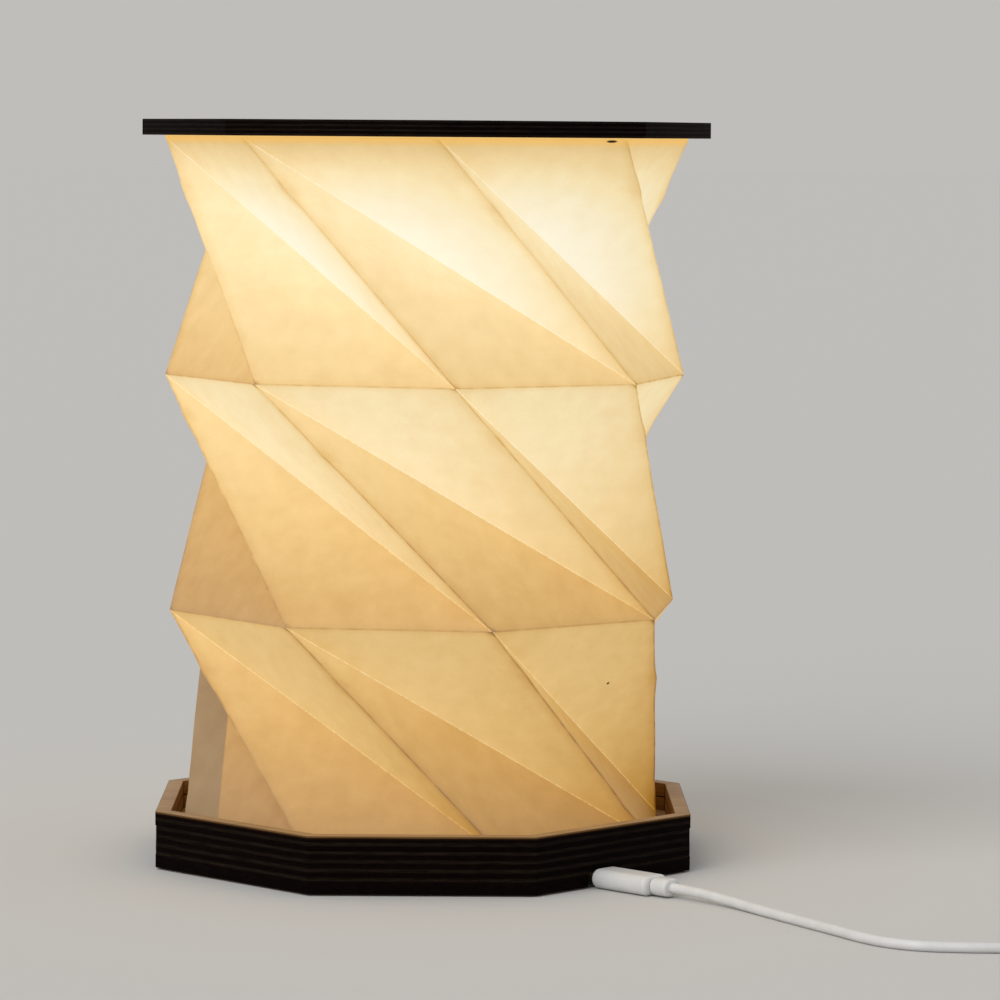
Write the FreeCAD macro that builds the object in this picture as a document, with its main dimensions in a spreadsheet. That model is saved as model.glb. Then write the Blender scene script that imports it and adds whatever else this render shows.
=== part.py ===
"""Pleated paper table lamp: a folded paper shade between a plywood tray and a plywood lid.

Eight sided, three tiers, every tier twisted the same way, so that the lid can be pressed down
with a turn until the shade lies flat in the tray. Light comes from a unit under the lid, and a
socket in the tray's front right face takes the supply cable.

Millimetres, +Z up, the tray's underside at height 0, the lamp's upright axis at X = Y = 0 and
one flat face of the tray towards -Y.
"""
import FreeCAD, Part
import Sketcher
import math
import os
import re

Vector = FreeCAD.Vector
UP = Vector(0, 0, 1)
SIDES = 8
SIDE_ANGLE = 360.0 / SIDES
HALF_SIDE = SIDE_ANGLE / 2

# Driving dimensions: alias, value, what it measures.
DRIVING = [
    # tray and lid
    ("base_width", 180.0, "tray octagon, flat to flat"),
    ("ply_thickness", 4.75, "each of the tray's four plywood layers"),
    ("rim_width", 5.3, "width of the rim round the foot of the shade"),
    ("felt_thickness", 0.7, "felt pad under the tray"),
    ("felt_inset", 2.0, "felt pad's edge inside the tray's edge"),
    ("lid_inset", 0.5, "lid's edge inside the tray's edge"),
    ("lid_thickness", 5.4, "plywood lid"),
    # folded shade
    ("shade_clearance", 2.6, "corners of the shade's upper creases inside the rim's corners"),
    ("foot_draw_in", 3.3, "corners of the lowest crease inside those of the creases above"),
    ("tier_lower", 75.4, "height of the lowest tier"),
    ("tier_middle", 79.0, "height of the middle tier"),
    ("tier_upper", 80.3, "height of the top tier"),
    ("foot_turn", 18.7, "turn of the lowest crease, anticlockwise from above, degrees"),
    ("lower_turn", 14.6, "turn of the crease above it"),
    ("upper_turn", 6.3, "turn of the next crease"),
    ("lid_turn", 2.6, "turn of the top crease and of the lid"),
    ("paper_wall", 0.6, "paper, measured towards the axis"),
    ("tab_step", 0.7, "upright margin between an end crease and its glue tabs"),
    ("tab_thickness", 0.3, "glue tab, folded flat"),
    ("tab_width", 9.0, "glue tab, outer to inner corner"),
    ("ring_thickness", 1.5, "stiff ring that presses the tabs down"),
    ("ring_width", 8.0, "stiff ring, outer to inner corner"),
    ("ring_clearance", 2.4, "stiff ring's corner inside the paper's corner"),
    # light unit
    ("led_board_radius", 28.0, "round metal-core board"),
    ("led_board_thickness", 1.2, "its thickness"),
    ("led_circle_radius", 19.0, "circle that the light chips stand on"),
    ("led_count", 9, "light chips"),
    ("led_turn", 20.0, "turn of the first light chip, degrees"),
    ("led_length", 3.5, "light chip, along the circle"),
    ("led_width", 2.8, "light chip, across the circle"),
    ("led_height", 0.8, "light chip's height"),
    ("cap_gap", 1.0, "board's edge to the inside of the milky cap"),
    ("cap_wall", 1.5, "milky cap's wall"),
    ("cap_height", 7.0, "milky cap's height"),
    ("cap_post_radius", 2.6, "posts inside the cap that press the board to the lid"),
    ("cap_screw_circle", 11.0, "circle of the cap's posts and screws"),
    ("cap_screw_count", 3, "cap screws"),
    ("cap_screw_radius", 1.0, "cap screw's shank"),
    ("cap_screw_bite", 3.6, "how far a cap screw goes into the lid"),
    ("screw_head_radius", 1.9, "all screw heads"),
    ("screw_head_height", 1.2, "all screw heads"),
    # lead inside the lamp
    ("lead_radius", 1.0, "supply lead inside the lamp"),
    ("lead_bend", 6.0, "lead's bend from the tray up into the shade"),
    ("lead_clearance", 0.5, "lead to the hole in the board and in the cap"),
    ("lead_slack", 3.5, "how far the hanging lead bows to each side"),
    ("grommet_clearance", 0.4, "lead to the grommet's bore"),
    ("grommet_wall", 1.6, "grommet's wall inside the floor plate"),
    ("grommet_depth", 2.3, "how far its sleeve reaches down into the floor plate"),
    ("grommet_flange", 1.8, "how far its flange stands out over the hole"),
    ("grommet_flange_height", 0.9, "its flange's height"),
    # socket and board in the tray
    ("socket_offset", -6.0, "socket's centre from the middle of its face, to the right"),
    ("socket_recess", 0.4, "socket's mouth inside the tray's face"),
    ("socket_shell_width", 8.94, "socket shell"),
    ("socket_shell_height", 3.26, "socket shell"),
    ("socket_shell_length", 7.35, "socket shell"),
    ("socket_shell_wall", 0.3, "socket shell"),
    ("section_flat", 0.1, "flat left between the round corners of socket and plug sections"),
    ("socket_fit", 0.1, "socket shell to the board's cut-out"),
    ("socket_tongue_width", 6.6, "socket's contact tongue"),
    ("socket_tongue_thickness", 0.7, "socket's contact tongue"),
    ("socket_tongue_length", 5.6, "socket's contact tongue"),
    ("notch_width", 13.0, "opening in the tray's wall for the socket"),
    ("board_length", 32.0, "driver board, away from the socket"),
    ("board_width", 22.0, "driver board, along the face"),
    ("board_thickness", 1.0, "driver board"),
    ("board_gap", 0.7, "driver board to the wall of its pocket"),
    ("board_screw_inset", 3.0, "board screws from the board's edges"),
    ("board_screw_radius", 1.0, "board screw's shank"),
    ("board_screw_bite", 3.2, "how far a board screw goes into the floor plate"),
    ("spacer_radius", 2.3, "round spacers between board and floor plate"),
    ("screw_clearance", 0.1, "screws to the holes that they pass through"),
    ("chip_length", 5.0, "driver chip"),
    ("chip_width", 4.0, "driver chip"),
    ("chip_height", 1.5, "driver chip"),
    ("inductor_side", 5.0, "square inductor"),
    ("inductor_height", 1.8, "square inductor"),
    ("capacitor_length", 3.2, "each capacitor"),
    ("capacitor_width", 1.6, "each capacitor"),
    ("capacitor_height", 1.2, "each capacitor"),
    ("channel_width", 5.0, "channel for the lead in the frame layer"),
    # supply cable
    ("cable_radius", 1.65, "supply cable"),
    ("plug_gap", 0.3, "plug's shoulder to the tray's face"),
    ("plug_rise", 0.2, "plug bodies above the table"),
    ("plug_width", 12.3, "moulded plug body"),
    ("plug_height", 6.4, "moulded plug body"),
    ("plug_length", 24.0, "moulded plug body"),
    ("plug_round", 1.2, "rounding of the plug body's ends"),
    ("plug_tongue_width", 8.2, "plug's metal tongue"),
    ("plug_tongue_height", 2.4, "plug's metal tongue"),
    ("plug_tongue_length", 6.4, "plug's metal tongue"),
    ("plug_tongue_wall", 0.55, "plug's metal tongue"),
    ("boot_width", 8.0, "strain relief behind the plug body"),
    ("boot_height", 5.8, "strain relief behind the plug body"),
    ("boot_length", 7.0, "strain relief behind the plug body"),
    ("boot_round", 1.0, "rounding of the strain relief's end"),
    ("coil_step", 4.6, "coiled cable, turn to turn"),
    ("coil_layer_step", 3.8, "coiled cable, layer to layer"),
    ("coil_radius", 25.6, "coiled cable, centre line of its outermost turn"),
    ("far_plug_width", 15.7, "body of the far plug"),
    ("far_plug_height", 7.9, "body of the far plug"),
    ("far_plug_length", 32.0, "body of the far plug"),
    ("far_plug_round", 1.4, "rounding of the far plug's body"),
    ("far_shell_width", 12.0, "metal shell of the far plug"),
    ("far_shell_height", 4.5, "metal shell of the far plug"),
    ("far_shell_length", 12.2, "metal shell of the far plug"),
    ("far_shell_wall", 0.3, "metal shell of the far plug"),
    ("far_shell_corner", 0.6, "metal shell of the far plug"),
    ("far_tongue_height", 1.8, "plastic tongue in the far plug's shell"),
    ("far_tongue_gap", 0.4, "tongue's edges to the shell's side walls"),
    ("far_plug_corner", 2.0, "corners of the far plug's section"),
    ("far_boot_length", 9.0, "strain relief of the far plug"),
    ("far_boot_radius", 3.0, "strain relief of the far plug, at its body"),
]
ALIASES = {alias for alias, value, meaning in DRIVING}

doc = FreeCAD.newDocument("paper_lamp")
sheet = doc.addObject("Spreadsheet::Sheet", "sizes")
for row, (alias, value, meaning) in enumerate(DRIVING, start=1):
    sheet.set(f"A{row}", meaning)
    sheet.set(f"B{row}", str(value))
    sheet.setAlias(f"B{row}", alias)
doc.recompute()
size = {alias: float(sheet.get(alias)) for alias in ALIASES}

nodes = {}


def keep(obj, node):
    """Names a finished sub-part after its node."""
    obj.Label = node
    nodes[node] = obj
    return obj


def with_cells(formula):
    """The formula with each word that is a cell's alias turned into that cell's name."""
    return re.sub(
        r"[a-z_]+",
        lambda found: "sizes." + found.group() if found.group() in ALIASES else found.group(),
        formula,
    )


def bind(obj, prop, formula):
    """Ties one property to the sheet."""
    obj.setExpression(prop, with_cells(formula))


def number(formula):
    """What a formula comes to, so that an outline is first drawn at its true size."""
    return float(sheet.evalExpression(with_cells(formula)))


def turned(x, y, z, angle=0.0):
    """A placement whose own X axis is turned anticlockwise by angle, with x and y in those axes."""
    spin = FreeCAD.Rotation(UP, angle)
    return FreeCAD.Placement(spin.multVec(Vector(x, y, z)), spin)


SHADE_RADIUS = "((base_width / 2 - rim_width) / cos(22.5) - shade_clearance)"
FOOT_RADIUS = f"({SHADE_RADIUS} - foot_draw_in)"
GROMMET_RADIUS = "(lead_radius + grommet_clearance + grommet_wall)"

shade_radius = (size["base_width"] / 2 - size["rim_width"]) / math.cos(math.radians(HALF_SIDE))
shade_radius -= size["shade_clearance"]
foot_radius = shade_radius - size["foot_draw_in"]
socket_z = size["plug_height"] / 2 + size["plug_rise"]


# ---- sketch outlines -------------------------------------------------------------------------

XY, YZ = "XY_Plane", "YZ_Plane"


def new_sketch(body, name, plane=XY, offset=None):
    """A sketch on one of the body's own origin planes; offset is a placement in that plane."""
    sketch = body.newObject("Sketcher::SketchObject", name)
    origin_plane = next(item for item in body.Origin.OriginFeatures if item.Role == plane)
    sketch.AttachmentSupport = [(origin_plane, "")]
    sketch.MapMode = "FlatFace"
    if offset is not None:
        sketch.AttachmentOffset = offset
    return sketch


def add_octagon(sketch, name, across):
    """Eight equal sides, one of them level, with their corners on a construction circle."""
    first = sketch.GeometryCount
    formula = f"({across}) / 2 / cos({HALF_SIDE})"
    radius = number(formula)
    corner = [
        Vector(
            radius * math.cos(math.radians(HALF_SIDE + SIDE_ANGLE * k)),
            radius * math.sin(math.radians(HALF_SIDE + SIDE_ANGLE * k)),
            0,
        )
        for k in range(SIDES)
    ]
    for k in range(SIDES):
        sketch.addGeometry(Part.LineSegment(corner[k], corner[(k + 1) % SIDES]), False)
    circle = sketch.addGeometry(Part.Circle(Vector(0, 0, 0), UP, radius), True)
    sketch.addConstraint(Sketcher.Constraint("Coincident", circle, 3, -1, 1))
    for k in range(SIDES):
        following = first + (k + 1) % SIDES
        sketch.addConstraint(Sketcher.Constraint("Coincident", first + k, 2, following, 1))
        sketch.addConstraint(Sketcher.Constraint("PointOnObject", first + k, 1, circle))
    for k in range(1, SIDES):
        sketch.addConstraint(Sketcher.Constraint("Equal", first, first + k))
    sketch.addConstraint(Sketcher.Constraint("Horizontal", first + 1))
    measure(sketch, name, formula, "Radius", circle)


def measure(sketch, name, formula, kind, *places):
    """A named dimension of a sketch, tied to the sheet."""
    index = sketch.addConstraint(Sketcher.Constraint(kind, *places, number(formula)))
    sketch.renameConstraint(index, name)
    bind(sketch, f"Constraints.{name}", formula)


def add_circle(sketch, name, radius, x="0", y="0"):
    """A circle whose centre is x, y."""
    centre = Vector(number(x), number(y), 0)
    circle = sketch.addGeometry(Part.Circle(centre, UP, number(radius)), False)
    measure(sketch, name + "_x", x, "DistanceX", -1, 1, circle, 3)
    measure(sketch, name + "_y", y, "DistanceY", -1, 1, circle, 3)
    measure(sketch, name, radius, "Radius", circle)


def add_rectangle(sketch, left, right, low, high):
    """An upright rectangle between four signed distances from the origin."""
    x_low, x_high, y_low, y_high = (number(side) for side in (left, right, low, high))
    points = [
        Vector(x_low, y_low, 0),
        Vector(x_high, y_low, 0),
        Vector(x_high, y_high, 0),
        Vector(x_low, y_high, 0),
    ]
    line = [
        sketch.addGeometry(Part.LineSegment(points[k], points[(k + 1) % 4]), False)
        for k in range(4)
    ]
    for k in range(4):
        sketch.addConstraint(Sketcher.Constraint("Coincident", line[k], 2, line[(k + 1) % 4], 1))
        sketch.addConstraint(Sketcher.Constraint(("Horizontal", "Vertical")[k % 2], line[k]))
    measure(sketch, "left", left, "DistanceX", -1, 1, line[0], 1)
    measure(sketch, "right", right, "DistanceX", -1, 1, line[2], 1)
    measure(sketch, "low", low, "DistanceY", -1, 1, line[0], 1)
    measure(sketch, "high", high, "DistanceY", -1, 1, line[2], 1)


def add_rounded_section(sketch, width, height, radius):
    """A rectangle about the origin with four equal round corners."""
    corner = number(radius)
    reach = (number(height) / 2, number(width) / 2)
    line, arc = [], []
    for k in range(4):
        along = Vector((1, 0, -1, 0)[k], (0, 1, 0, -1)[k], 0)
        out = Vector(along.y, -along.x, 0)
        middle = out * reach[k % 2]
        half = along * (reach[(k + 1) % 2] - corner)
        end = middle + half
        line.append(sketch.addGeometry(Part.LineSegment(middle - half, end), False))
        circle = Part.Circle(end - out * corner, UP, corner)
        turn = math.atan2(out.y, out.x)
        arc.append(sketch.addGeometry(Part.ArcOfCircle(circle, turn, turn + math.pi / 2)))
    for k in range(4):
        sketch.addConstraint(Sketcher.Constraint("Tangent", line[k], 2, arc[k], 1))
        sketch.addConstraint(Sketcher.Constraint("Tangent", arc[k], 2, line[(k + 1) % 4], 1))
    for k in range(3):
        sketch.addConstraint(Sketcher.Constraint(("Horizontal", "Vertical")[k % 2], line[k]))
        sketch.addConstraint(Sketcher.Constraint("Equal", arc[0], arc[k + 1]))
    sketch.addConstraint(Sketcher.Constraint("Symmetric", arc[0], 3, arc[2], 3, -1, 1))
    measure(sketch, "corner", radius, "Radius", arc[0])
    measure(sketch, "width", f"({width}) - 2 * ({radius})", "DistanceX", arc[2], 3, arc[0], 3)
    measure(sketch, "height", f"({height}) - 2 * ({radius})", "DistanceY", arc[0], 3, arc[2], 3)


# ---- features --------------------------------------------------------------------------------


def new_body(node, place=None):
    body = doc.addObject("PartDesign::Body", node + "_body")
    if place is not None:
        body.Placement = place
    return keep(body, node)


def pad(body, sketch, length, backwards=False):
    feature = body.newObject("PartDesign::Pad", sketch.Name + "_pad")
    feature.Profile = sketch
    bind(feature, "Length", length)
    feature.Reversed = backwards
    sketch.Visibility = False
    doc.recompute()
    return feature


def pocket(body, sketch, depth, backwards=False):
    """A pocket that goes against the sketch's normal, or along it when backwards."""
    before = body.Shape.Volume
    feature = body.newObject("PartDesign::Pocket", sketch.Name + "_pocket")
    feature.Profile = sketch
    bind(feature, "Length", depth)
    feature.Reversed = backwards
    doc.recompute()
    if not body.Shape.Volume < before:
        raise RuntimeError(f"{feature.Name} cuts nothing")
    return feature


def round_edges(body, feature, radius, chosen):
    """Fillets the edges of the body for which chosen(edge) is true."""
    names = [f"Edge{i}" for i, edge in enumerate(feature.Shape.Edges, start=1) if chosen(edge)]
    fillet = body.newObject("PartDesign::Fillet", body.Name + "_round")
    fillet.Base = (feature, names)
    bind(fillet, "Radius", radius)
    doc.recompute()
    return fillet


def octagon_plate(node, across, z, thickness, turn=0.0, inner=None):
    """An octagonal layer of plywood or card, with an octagonal opening if inner is given."""
    body = new_body(node, turned(0, 0, z, turn))
    sketch = new_sketch(body, node + "_outline")
    add_octagon(sketch, "outer", across)
    if inner is not None:
        add_octagon(sketch, "inner", inner)
    pad(body, sketch, thickness)
    return body


def box(name, length, width, height, place):
    """A block whose length and width are centred on the place's own X and Y axes."""
    block = doc.addObject("Part::Box", name)
    bind(block, "Length", length)
    bind(block, "Width", width)
    bind(block, "Height", height)
    doc.recompute()
    shift = Vector(-block.Length.Value / 2, -block.Width.Value / 2, 0)
    block.Placement = place.multiply(FreeCAD.Placement(shift, FreeCAD.Rotation()))
    return block


def cylinder(name, radius, height, place):
    post = doc.addObject("Part::Cylinder", name)
    bind(post, "Radius", radius)
    bind(post, "Height", height)
    post.Placement = place
    return post


def fuse(name, shapes):
    joined = doc.addObject("Part::MultiFuse", name)
    joined.Shapes = shapes
    return joined


def cut(name, base, tool):
    left = doc.addObject("Part::Cut", name)
    left.Base = base
    left.Tool = tool
    return left


def group(node, members):
    """Several separate solids that share one node."""
    compound = doc.addObject("Part::Compound", node + "_group")
    compound.Links = members
    return keep(compound, node)


def spots(count, radius, turn=0.0):
    """Centres spaced evenly on a circle, with the direction of each."""
    step = 360.0 / count
    return [
        (
            radius * math.cos(math.radians(turn + step * k)),
            radius * math.sin(math.radians(turn + step * k)),
            turn + step * k,
        )
        for k in range(int(count))
    ]


# ---- heights that follow from the driving dimensions -----------------------------------------

frame_z = size["felt_thickness"]
floor_z = frame_z + size["ply_thickness"]
floor_top_z = floor_z + size["ply_thickness"]
rim_upper_z = floor_top_z + size["ply_thickness"]
rim_top_z = rim_upper_z + size["ply_thickness"]
foot_crease_z = floor_top_z + size["tab_step"]
lower_crease_z = foot_crease_z + size["tier_lower"]
upper_crease_z = lower_crease_z + size["tier_middle"]
top_crease_z = upper_crease_z + size["tier_upper"]
lid_z = top_crease_z + size["tab_step"]
face_reach = size["base_width"] / 2
SOCKET_TURN = -45.0


def lid_placement_turn():
    """The octagon outline has level sides; the lid's corners stand at lid_turn."""
    return size["lid_turn"] - HALF_SIDE


def beside_socket(out, along, z):
    """A place in the socket's axes: out through its face, along the face to the right."""
    return turned(out, size["socket_offset"] + along, z, SOCKET_TURN)


# ---- tray ------------------------------------------------------------------------------------


def make_felt_pad():
    octagon_plate("felt_pad", "base_width - 2 * felt_inset", 0.0, "felt_thickness")


board_outer = face_reach - size["rim_width"] - size["board_gap"]
board_inner = board_outer - size["board_length"]
board_z = socket_z - size["board_thickness"] / 2
board_top_z = board_z + size["board_thickness"]
lead_run = math.hypot(board_inner, size["socket_offset"])
lead_turn = SOCKET_TURN + math.degrees(math.atan2(size["socket_offset"], board_inner))


def make_base_frame():
    """The lowest plywood layer: a pocket for the board, a notch for the socket, a lead channel."""
    body = octagon_plate("base_frame", "base_width", frame_z, "ply_thickness")
    socket_axes = turned(0, 0, 0, SOCKET_TURN)
    board_pocket = new_sketch(body, "board_pocket", offset=socket_axes)
    add_rectangle(
        board_pocket,
        "base_width / 2 - rim_width - 2 * board_gap - board_length",
        "base_width / 2 - rim_width",
        "socket_offset - board_width / 2 - board_gap",
        "socket_offset + board_width / 2 + board_gap",
    )
    pocket(body, board_pocket, "ply_thickness", backwards=True)
    notch = new_sketch(body, "socket_notch", offset=socket_axes)
    add_rectangle(
        notch,
        "base_width / 2 - rim_width - board_gap",
        "base_width / 2 + rim_width",
        "socket_offset - notch_width / 2",
        "socket_offset + notch_width / 2",
    )
    pocket(body, notch, "ply_thickness", backwards=True)
    channel = new_sketch(body, "lead_channel", offset=turned(0, 0, 0, lead_turn))
    add_rectangle(
        channel,
        f"-({GROMMET_RADIUS} + grommet_flange)",
        "base_width / 2 - rim_width - board_gap - board_length",
        "-channel_width / 2",
        "channel_width / 2",
    )
    pocket(body, channel, "ply_thickness", backwards=True)
    well = new_sketch(body, "lead_well")
    add_circle(well, "well", f"{GROMMET_RADIUS} + grommet_flange")
    pocket(body, well, "ply_thickness", backwards=True)


def board_screw_spots():
    """Centres of the four board screws, out and along, in the socket's axes."""
    inset = size["board_screw_inset"]
    half = size["board_width"] / 2 - inset
    return [
        (out, along)
        for out in (board_inner + inset, board_outer - inset)
        for along in (-half, half)
    ]


def add_board_holes(sketch, radius):
    """The same four places as circles in a sketch that has the socket's axes."""
    outer_end = "base_width / 2 - rim_width - board_gap"
    ends = (f"{outer_end} - board_length + board_screw_inset", f"{outer_end} - board_screw_inset")
    names = iter("abcd")
    for out in ends:
        for sign in "-+":
            along = f"socket_offset {sign} (board_width / 2 - board_screw_inset)"
            add_circle(sketch, "hole_" + next(names), radius, out, along)


def make_floor_plate():
    """The layer over the pocket, with a hole for the lead's grommet and four pilot holes."""
    body = octagon_plate("floor_plate", "base_width", floor_z, "ply_thickness")
    hole = new_sketch(body, "grommet_hole")
    add_circle(hole, "hole", GROMMET_RADIUS)
    pocket(body, hole, "ply_thickness", backwards=True)
    pilots = new_sketch(body, "board_pilots", offset=turned(0, 0, 0, SOCKET_TURN))
    add_board_holes(pilots, "board_screw_radius")
    pocket(body, pilots, "board_screw_bite", backwards=True)


def make_rims():
    """Two identical plywood rings that make the rim."""
    for node, z in (("rim_lower", floor_top_z), ("rim_upper", rim_upper_z)):
        octagon_plate(
            node, "base_width", z, "ply_thickness", inner="base_width - 2 * rim_width"
        )


# ---- socket and driver board -----------------------------------------------------------------


def make_socket():
    """A folded metal shell, closed at the back, round a flat contact tongue."""
    mouth = face_reach - size["socket_recess"]
    back = mouth - size["socket_shell_length"]
    shell = new_body("usb_socket_shell", beside_socket(back, 0, socket_z))
    outline = new_sketch(shell, "socket_outline", YZ)
    round_outside = "(socket_shell_height - section_flat) / 2"
    add_rounded_section(outline, "socket_shell_width", "socket_shell_height", round_outside)
    pad(shell, outline, "socket_shell_length")
    mouth_plane = FreeCAD.Placement(Vector(0, 0, size["socket_shell_length"]), FreeCAD.Rotation())
    cavity = new_sketch(shell, "socket_cavity", YZ, mouth_plane)
    add_rounded_section(
        cavity,
        "socket_shell_width - 2 * socket_shell_wall",
        "socket_shell_height - 2 * socket_shell_wall",
        "(socket_shell_height - section_flat) / 2 - socket_shell_wall",
    )
    pocket(shell, cavity, "socket_shell_length - socket_shell_wall")
    tongue_middle = back + size["socket_shell_wall"] + size["socket_tongue_length"] / 2
    tongue_z = socket_z - size["socket_tongue_thickness"] / 2
    tongue = box(
        "socket_tongue",
        "socket_tongue_length",
        "socket_tongue_width",
        "socket_tongue_thickness",
        beside_socket(tongue_middle, 0, tongue_z),
    )
    keep(tongue, "usb_socket_tongue")


def make_driver_board():
    """The board hangs under the floor plate, with a cut-out at its outer edge for the socket."""
    body = new_body("driver_board", turned(0, 0, board_z, SOCKET_TURN))
    outline = new_sketch(body, "board_outline")
    add_rectangle(
        outline,
        "base_width / 2 - rim_width - board_gap - board_length",
        "base_width / 2 - rim_width - board_gap",
        "socket_offset - board_width / 2",
        "socket_offset + board_width / 2",
    )
    pad(body, outline, "board_thickness")
    cut_out = new_sketch(body, "socket_cut_out")
    add_rectangle(
        cut_out,
        "base_width / 2 - socket_recess - socket_shell_length - socket_fit",
        "base_width / 2 - rim_width",
        "socket_offset - socket_shell_width / 2 - socket_fit",
        "socket_offset + socket_shell_width / 2 + socket_fit",
    )
    pocket(body, cut_out, "board_thickness", backwards=True)
    holes = new_sketch(body, "board_holes")
    add_board_holes(holes, "board_screw_radius + screw_clearance")
    pocket(body, holes, "board_thickness", backwards=True)


# Parts under the board: node, its length, width and height, and the middle of each as a share
# of the board's length from its inner edge and a share of its width from the middle.
BOARD_PARTS = [
    ("driver_chip", "chip_length", "chip_width", "chip_height", [(0.44, -0.18)]),
    ("driver_inductor", "inductor_side", "inductor_side", "inductor_height", [(0.44, 0.18)]),
    (
        "driver_capacitors",
        "capacitor_width",
        "capacitor_length",
        "capacitor_height",
        [(0.68, -0.24), (0.68, 0.24), (0.25, 0.24)],
    ),
]


def make_board_parts():
    for node, length, width, height, places in BOARD_PARTS:
        blocks = []
        for k, (out_share, along_share) in enumerate(places):
            out = board_inner + out_share * size["board_length"]
            along = along_share * size["board_width"]
            place = beside_socket(out, along, board_z - size[height])
            blocks.append(box(f"{node}_{k}", length, width, height, place))
        group(node, blocks)


def make_board_fixings():
    """Round spacers over the board, and screws from below into the floor plate."""
    spacers, screws = [], []
    gap = floor_z - board_top_z
    for k, (out, along) in enumerate(board_screw_spots()):
        foot = beside_socket(out, along, board_top_z)
        ring = cylinder(f"spacer_{k}", "spacer_radius", str(gap), foot)
        bore = cylinder(
            f"spacer_bore_{k}", "board_screw_radius + screw_clearance", str(gap), foot
        )
        spacers.append(cut(f"spacer_ring_{k}", ring, bore))
        head_z = board_z - size["screw_head_height"]
        head = cylinder(
            f"board_screw_head_{k}",
            "screw_head_radius",
            "screw_head_height",
            beside_socket(out, along, head_z),
        )
        shank_length = f"board_thickness + {gap} + board_screw_bite"
        shank = cylinder(
            f"board_screw_shank_{k}",
            "board_screw_radius",
            shank_length,
            beside_socket(out, along, board_z),
        )
        screws.append(fuse(f"board_screw_{k}", [head, shank]))
    group("board_spacers", spacers)
    group("board_screws", screws)


# ---- cables ----------------------------------------------------------------------------------


def rounded_path(points):
    """Straight runs joined by tangent arcs, each as large as its two runs allow.

    Returns the wire and the arcs' radii. An arc takes 0.45 of the shorter run from each side.
    """
    edges, radii = [], []
    start = points[0]
    for before, corner, after in zip(points, points[1:], points[2:]):
        arrive = (corner - before).normalize()
        leave = (after - corner).normalize()
        shorter = min((corner - before).Length, (after - corner).Length)
        turn = arrive.getAngle(leave)
        setback = 0.45 * shorter
        radius = setback / math.tan(turn / 2)
        arc_start = corner - arrive * setback
        arc_end = corner + leave * setback
        to_centre = (leave - arrive).normalize()
        middle = corner + to_centre * (radius / math.cos(turn / 2) - radius)
        edges.append(Part.LineSegment(start, arc_start).toShape())
        edges.append(Part.Arc(arc_start, middle, arc_end).toShape())
        radii.append(radius)
        start = arc_end
    edges.append(Part.LineSegment(start, points[-1]).toShape())
    return Part.Wire(edges), radii


def tube_along(wire, radius):
    """A round solid along a wire, checked against its section times its length."""
    first = wire.Edges[0]
    start = first.valueAt(first.FirstParameter)
    direction = first.tangentAt(first.FirstParameter)
    section = Part.Wire(Part.Circle(start, direction, radius).toShape())
    solid = wire.makePipeShell([section], True, False)
    expected = math.pi * radius**2 * wire.Length
    if abs(solid.Volume / expected - 1) > 0.01:
        raise RuntimeError(f"tube volume {solid.Volume:.1f} against {expected:.1f}")
    return solid


def add_tube(node, points, radius):
    wire, radii = rounded_path(points)
    tube = doc.addObject("Part::Feature", node + "_tube")
    tube.Shape = tube_along(wire, radius)
    keep(tube, node)
    print(f"{node}: {wire.Length:.1f} long, radii", [round(value, 1) for value in radii])
    return wire.Length


def make_lead():
    """The lead under the board and along its channel, then up through the shade to the light."""
    radius = size["lead_radius"]
    bend = size["lead_bend"]
    low = board_z - radius
    spin = FreeCAD.Rotation(UP, lead_turn)
    along = spin.multVec(Vector(1, 0, 0))
    start = along * (lead_run + size["board_screw_inset"]) + Vector(0, 0, low)
    bend_start = along * bend + Vector(0, 0, low)
    slant = bend * (1 - math.sqrt(0.5))
    bend_middle = along * slant + Vector(0, 0, low + slant)
    bend_end = Vector(0, 0, low + bend)
    top = Vector(0, 0, floor_top_z)
    runs = [Part.LineSegment(start, bend_start).toShape()]
    runs.append(Part.Arc(bend_start, bend_middle, bend_end).toShape())
    runs.append(Part.LineSegment(bend_end, top).toShape())
    foot = doc.addObject("Part::Feature", "led_lead_foot_tube")
    foot.Shape = tube_along(Part.Wire(runs), radius)
    keep(foot, "led_lead_foot")
    light_z = lid_z - size["led_board_thickness"]
    hang = light_z - floor_top_z
    slack = size["lead_slack"]
    shares = [
        (0.0, 0.0, 0.0),
        (0.0, 0.0, 0.12),
        (1.0, 0.6, 0.30),
        (0.5, 1.0, 0.48),
        (-0.9, 0.2, 0.68),
        (0.0, 0.0, 0.88),
        (0.0, 0.0, 1.0),
    ]
    route = [Vector(slack * x, slack * y, floor_top_z + hang * share) for x, y, share in shares]
    add_tube("led_lead", route, radius)


def make_grommet():
    """A rubber sleeve with a flange that rests on the floor plate."""
    body = new_body("lead_grommet", turned(0, 0, floor_top_z))
    sleeve = new_sketch(body, "grommet_sleeve")
    add_circle(sleeve, "outside", GROMMET_RADIUS)
    add_circle(sleeve, "bore", "lead_radius + grommet_clearance")
    pad(body, sleeve, "grommet_depth", backwards=True)
    flange = new_sketch(body, "grommet_flange_outline")
    add_circle(flange, "outside", f"{GROMMET_RADIUS} + grommet_flange")
    add_circle(flange, "bore", "lead_radius + grommet_clearance")
    rim = pad(body, flange, "grommet_flange_height")
    outer_radius = max(edge.BoundBox.XLength for edge in rim.Shape.Edges) / 2

    def outer_top_edge(edge):
        limits = edge.BoundBox
        at_top = abs(limits.ZMin - size["grommet_flange_height"]) < 0.01
        return at_top and limits.XLength > 2 * outer_radius - 0.1

    round_edges(body, rim, "grommet_flange_height / 2", outer_top_edge)


# ---- folded shade ----------------------------------------------------------------------------


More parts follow.
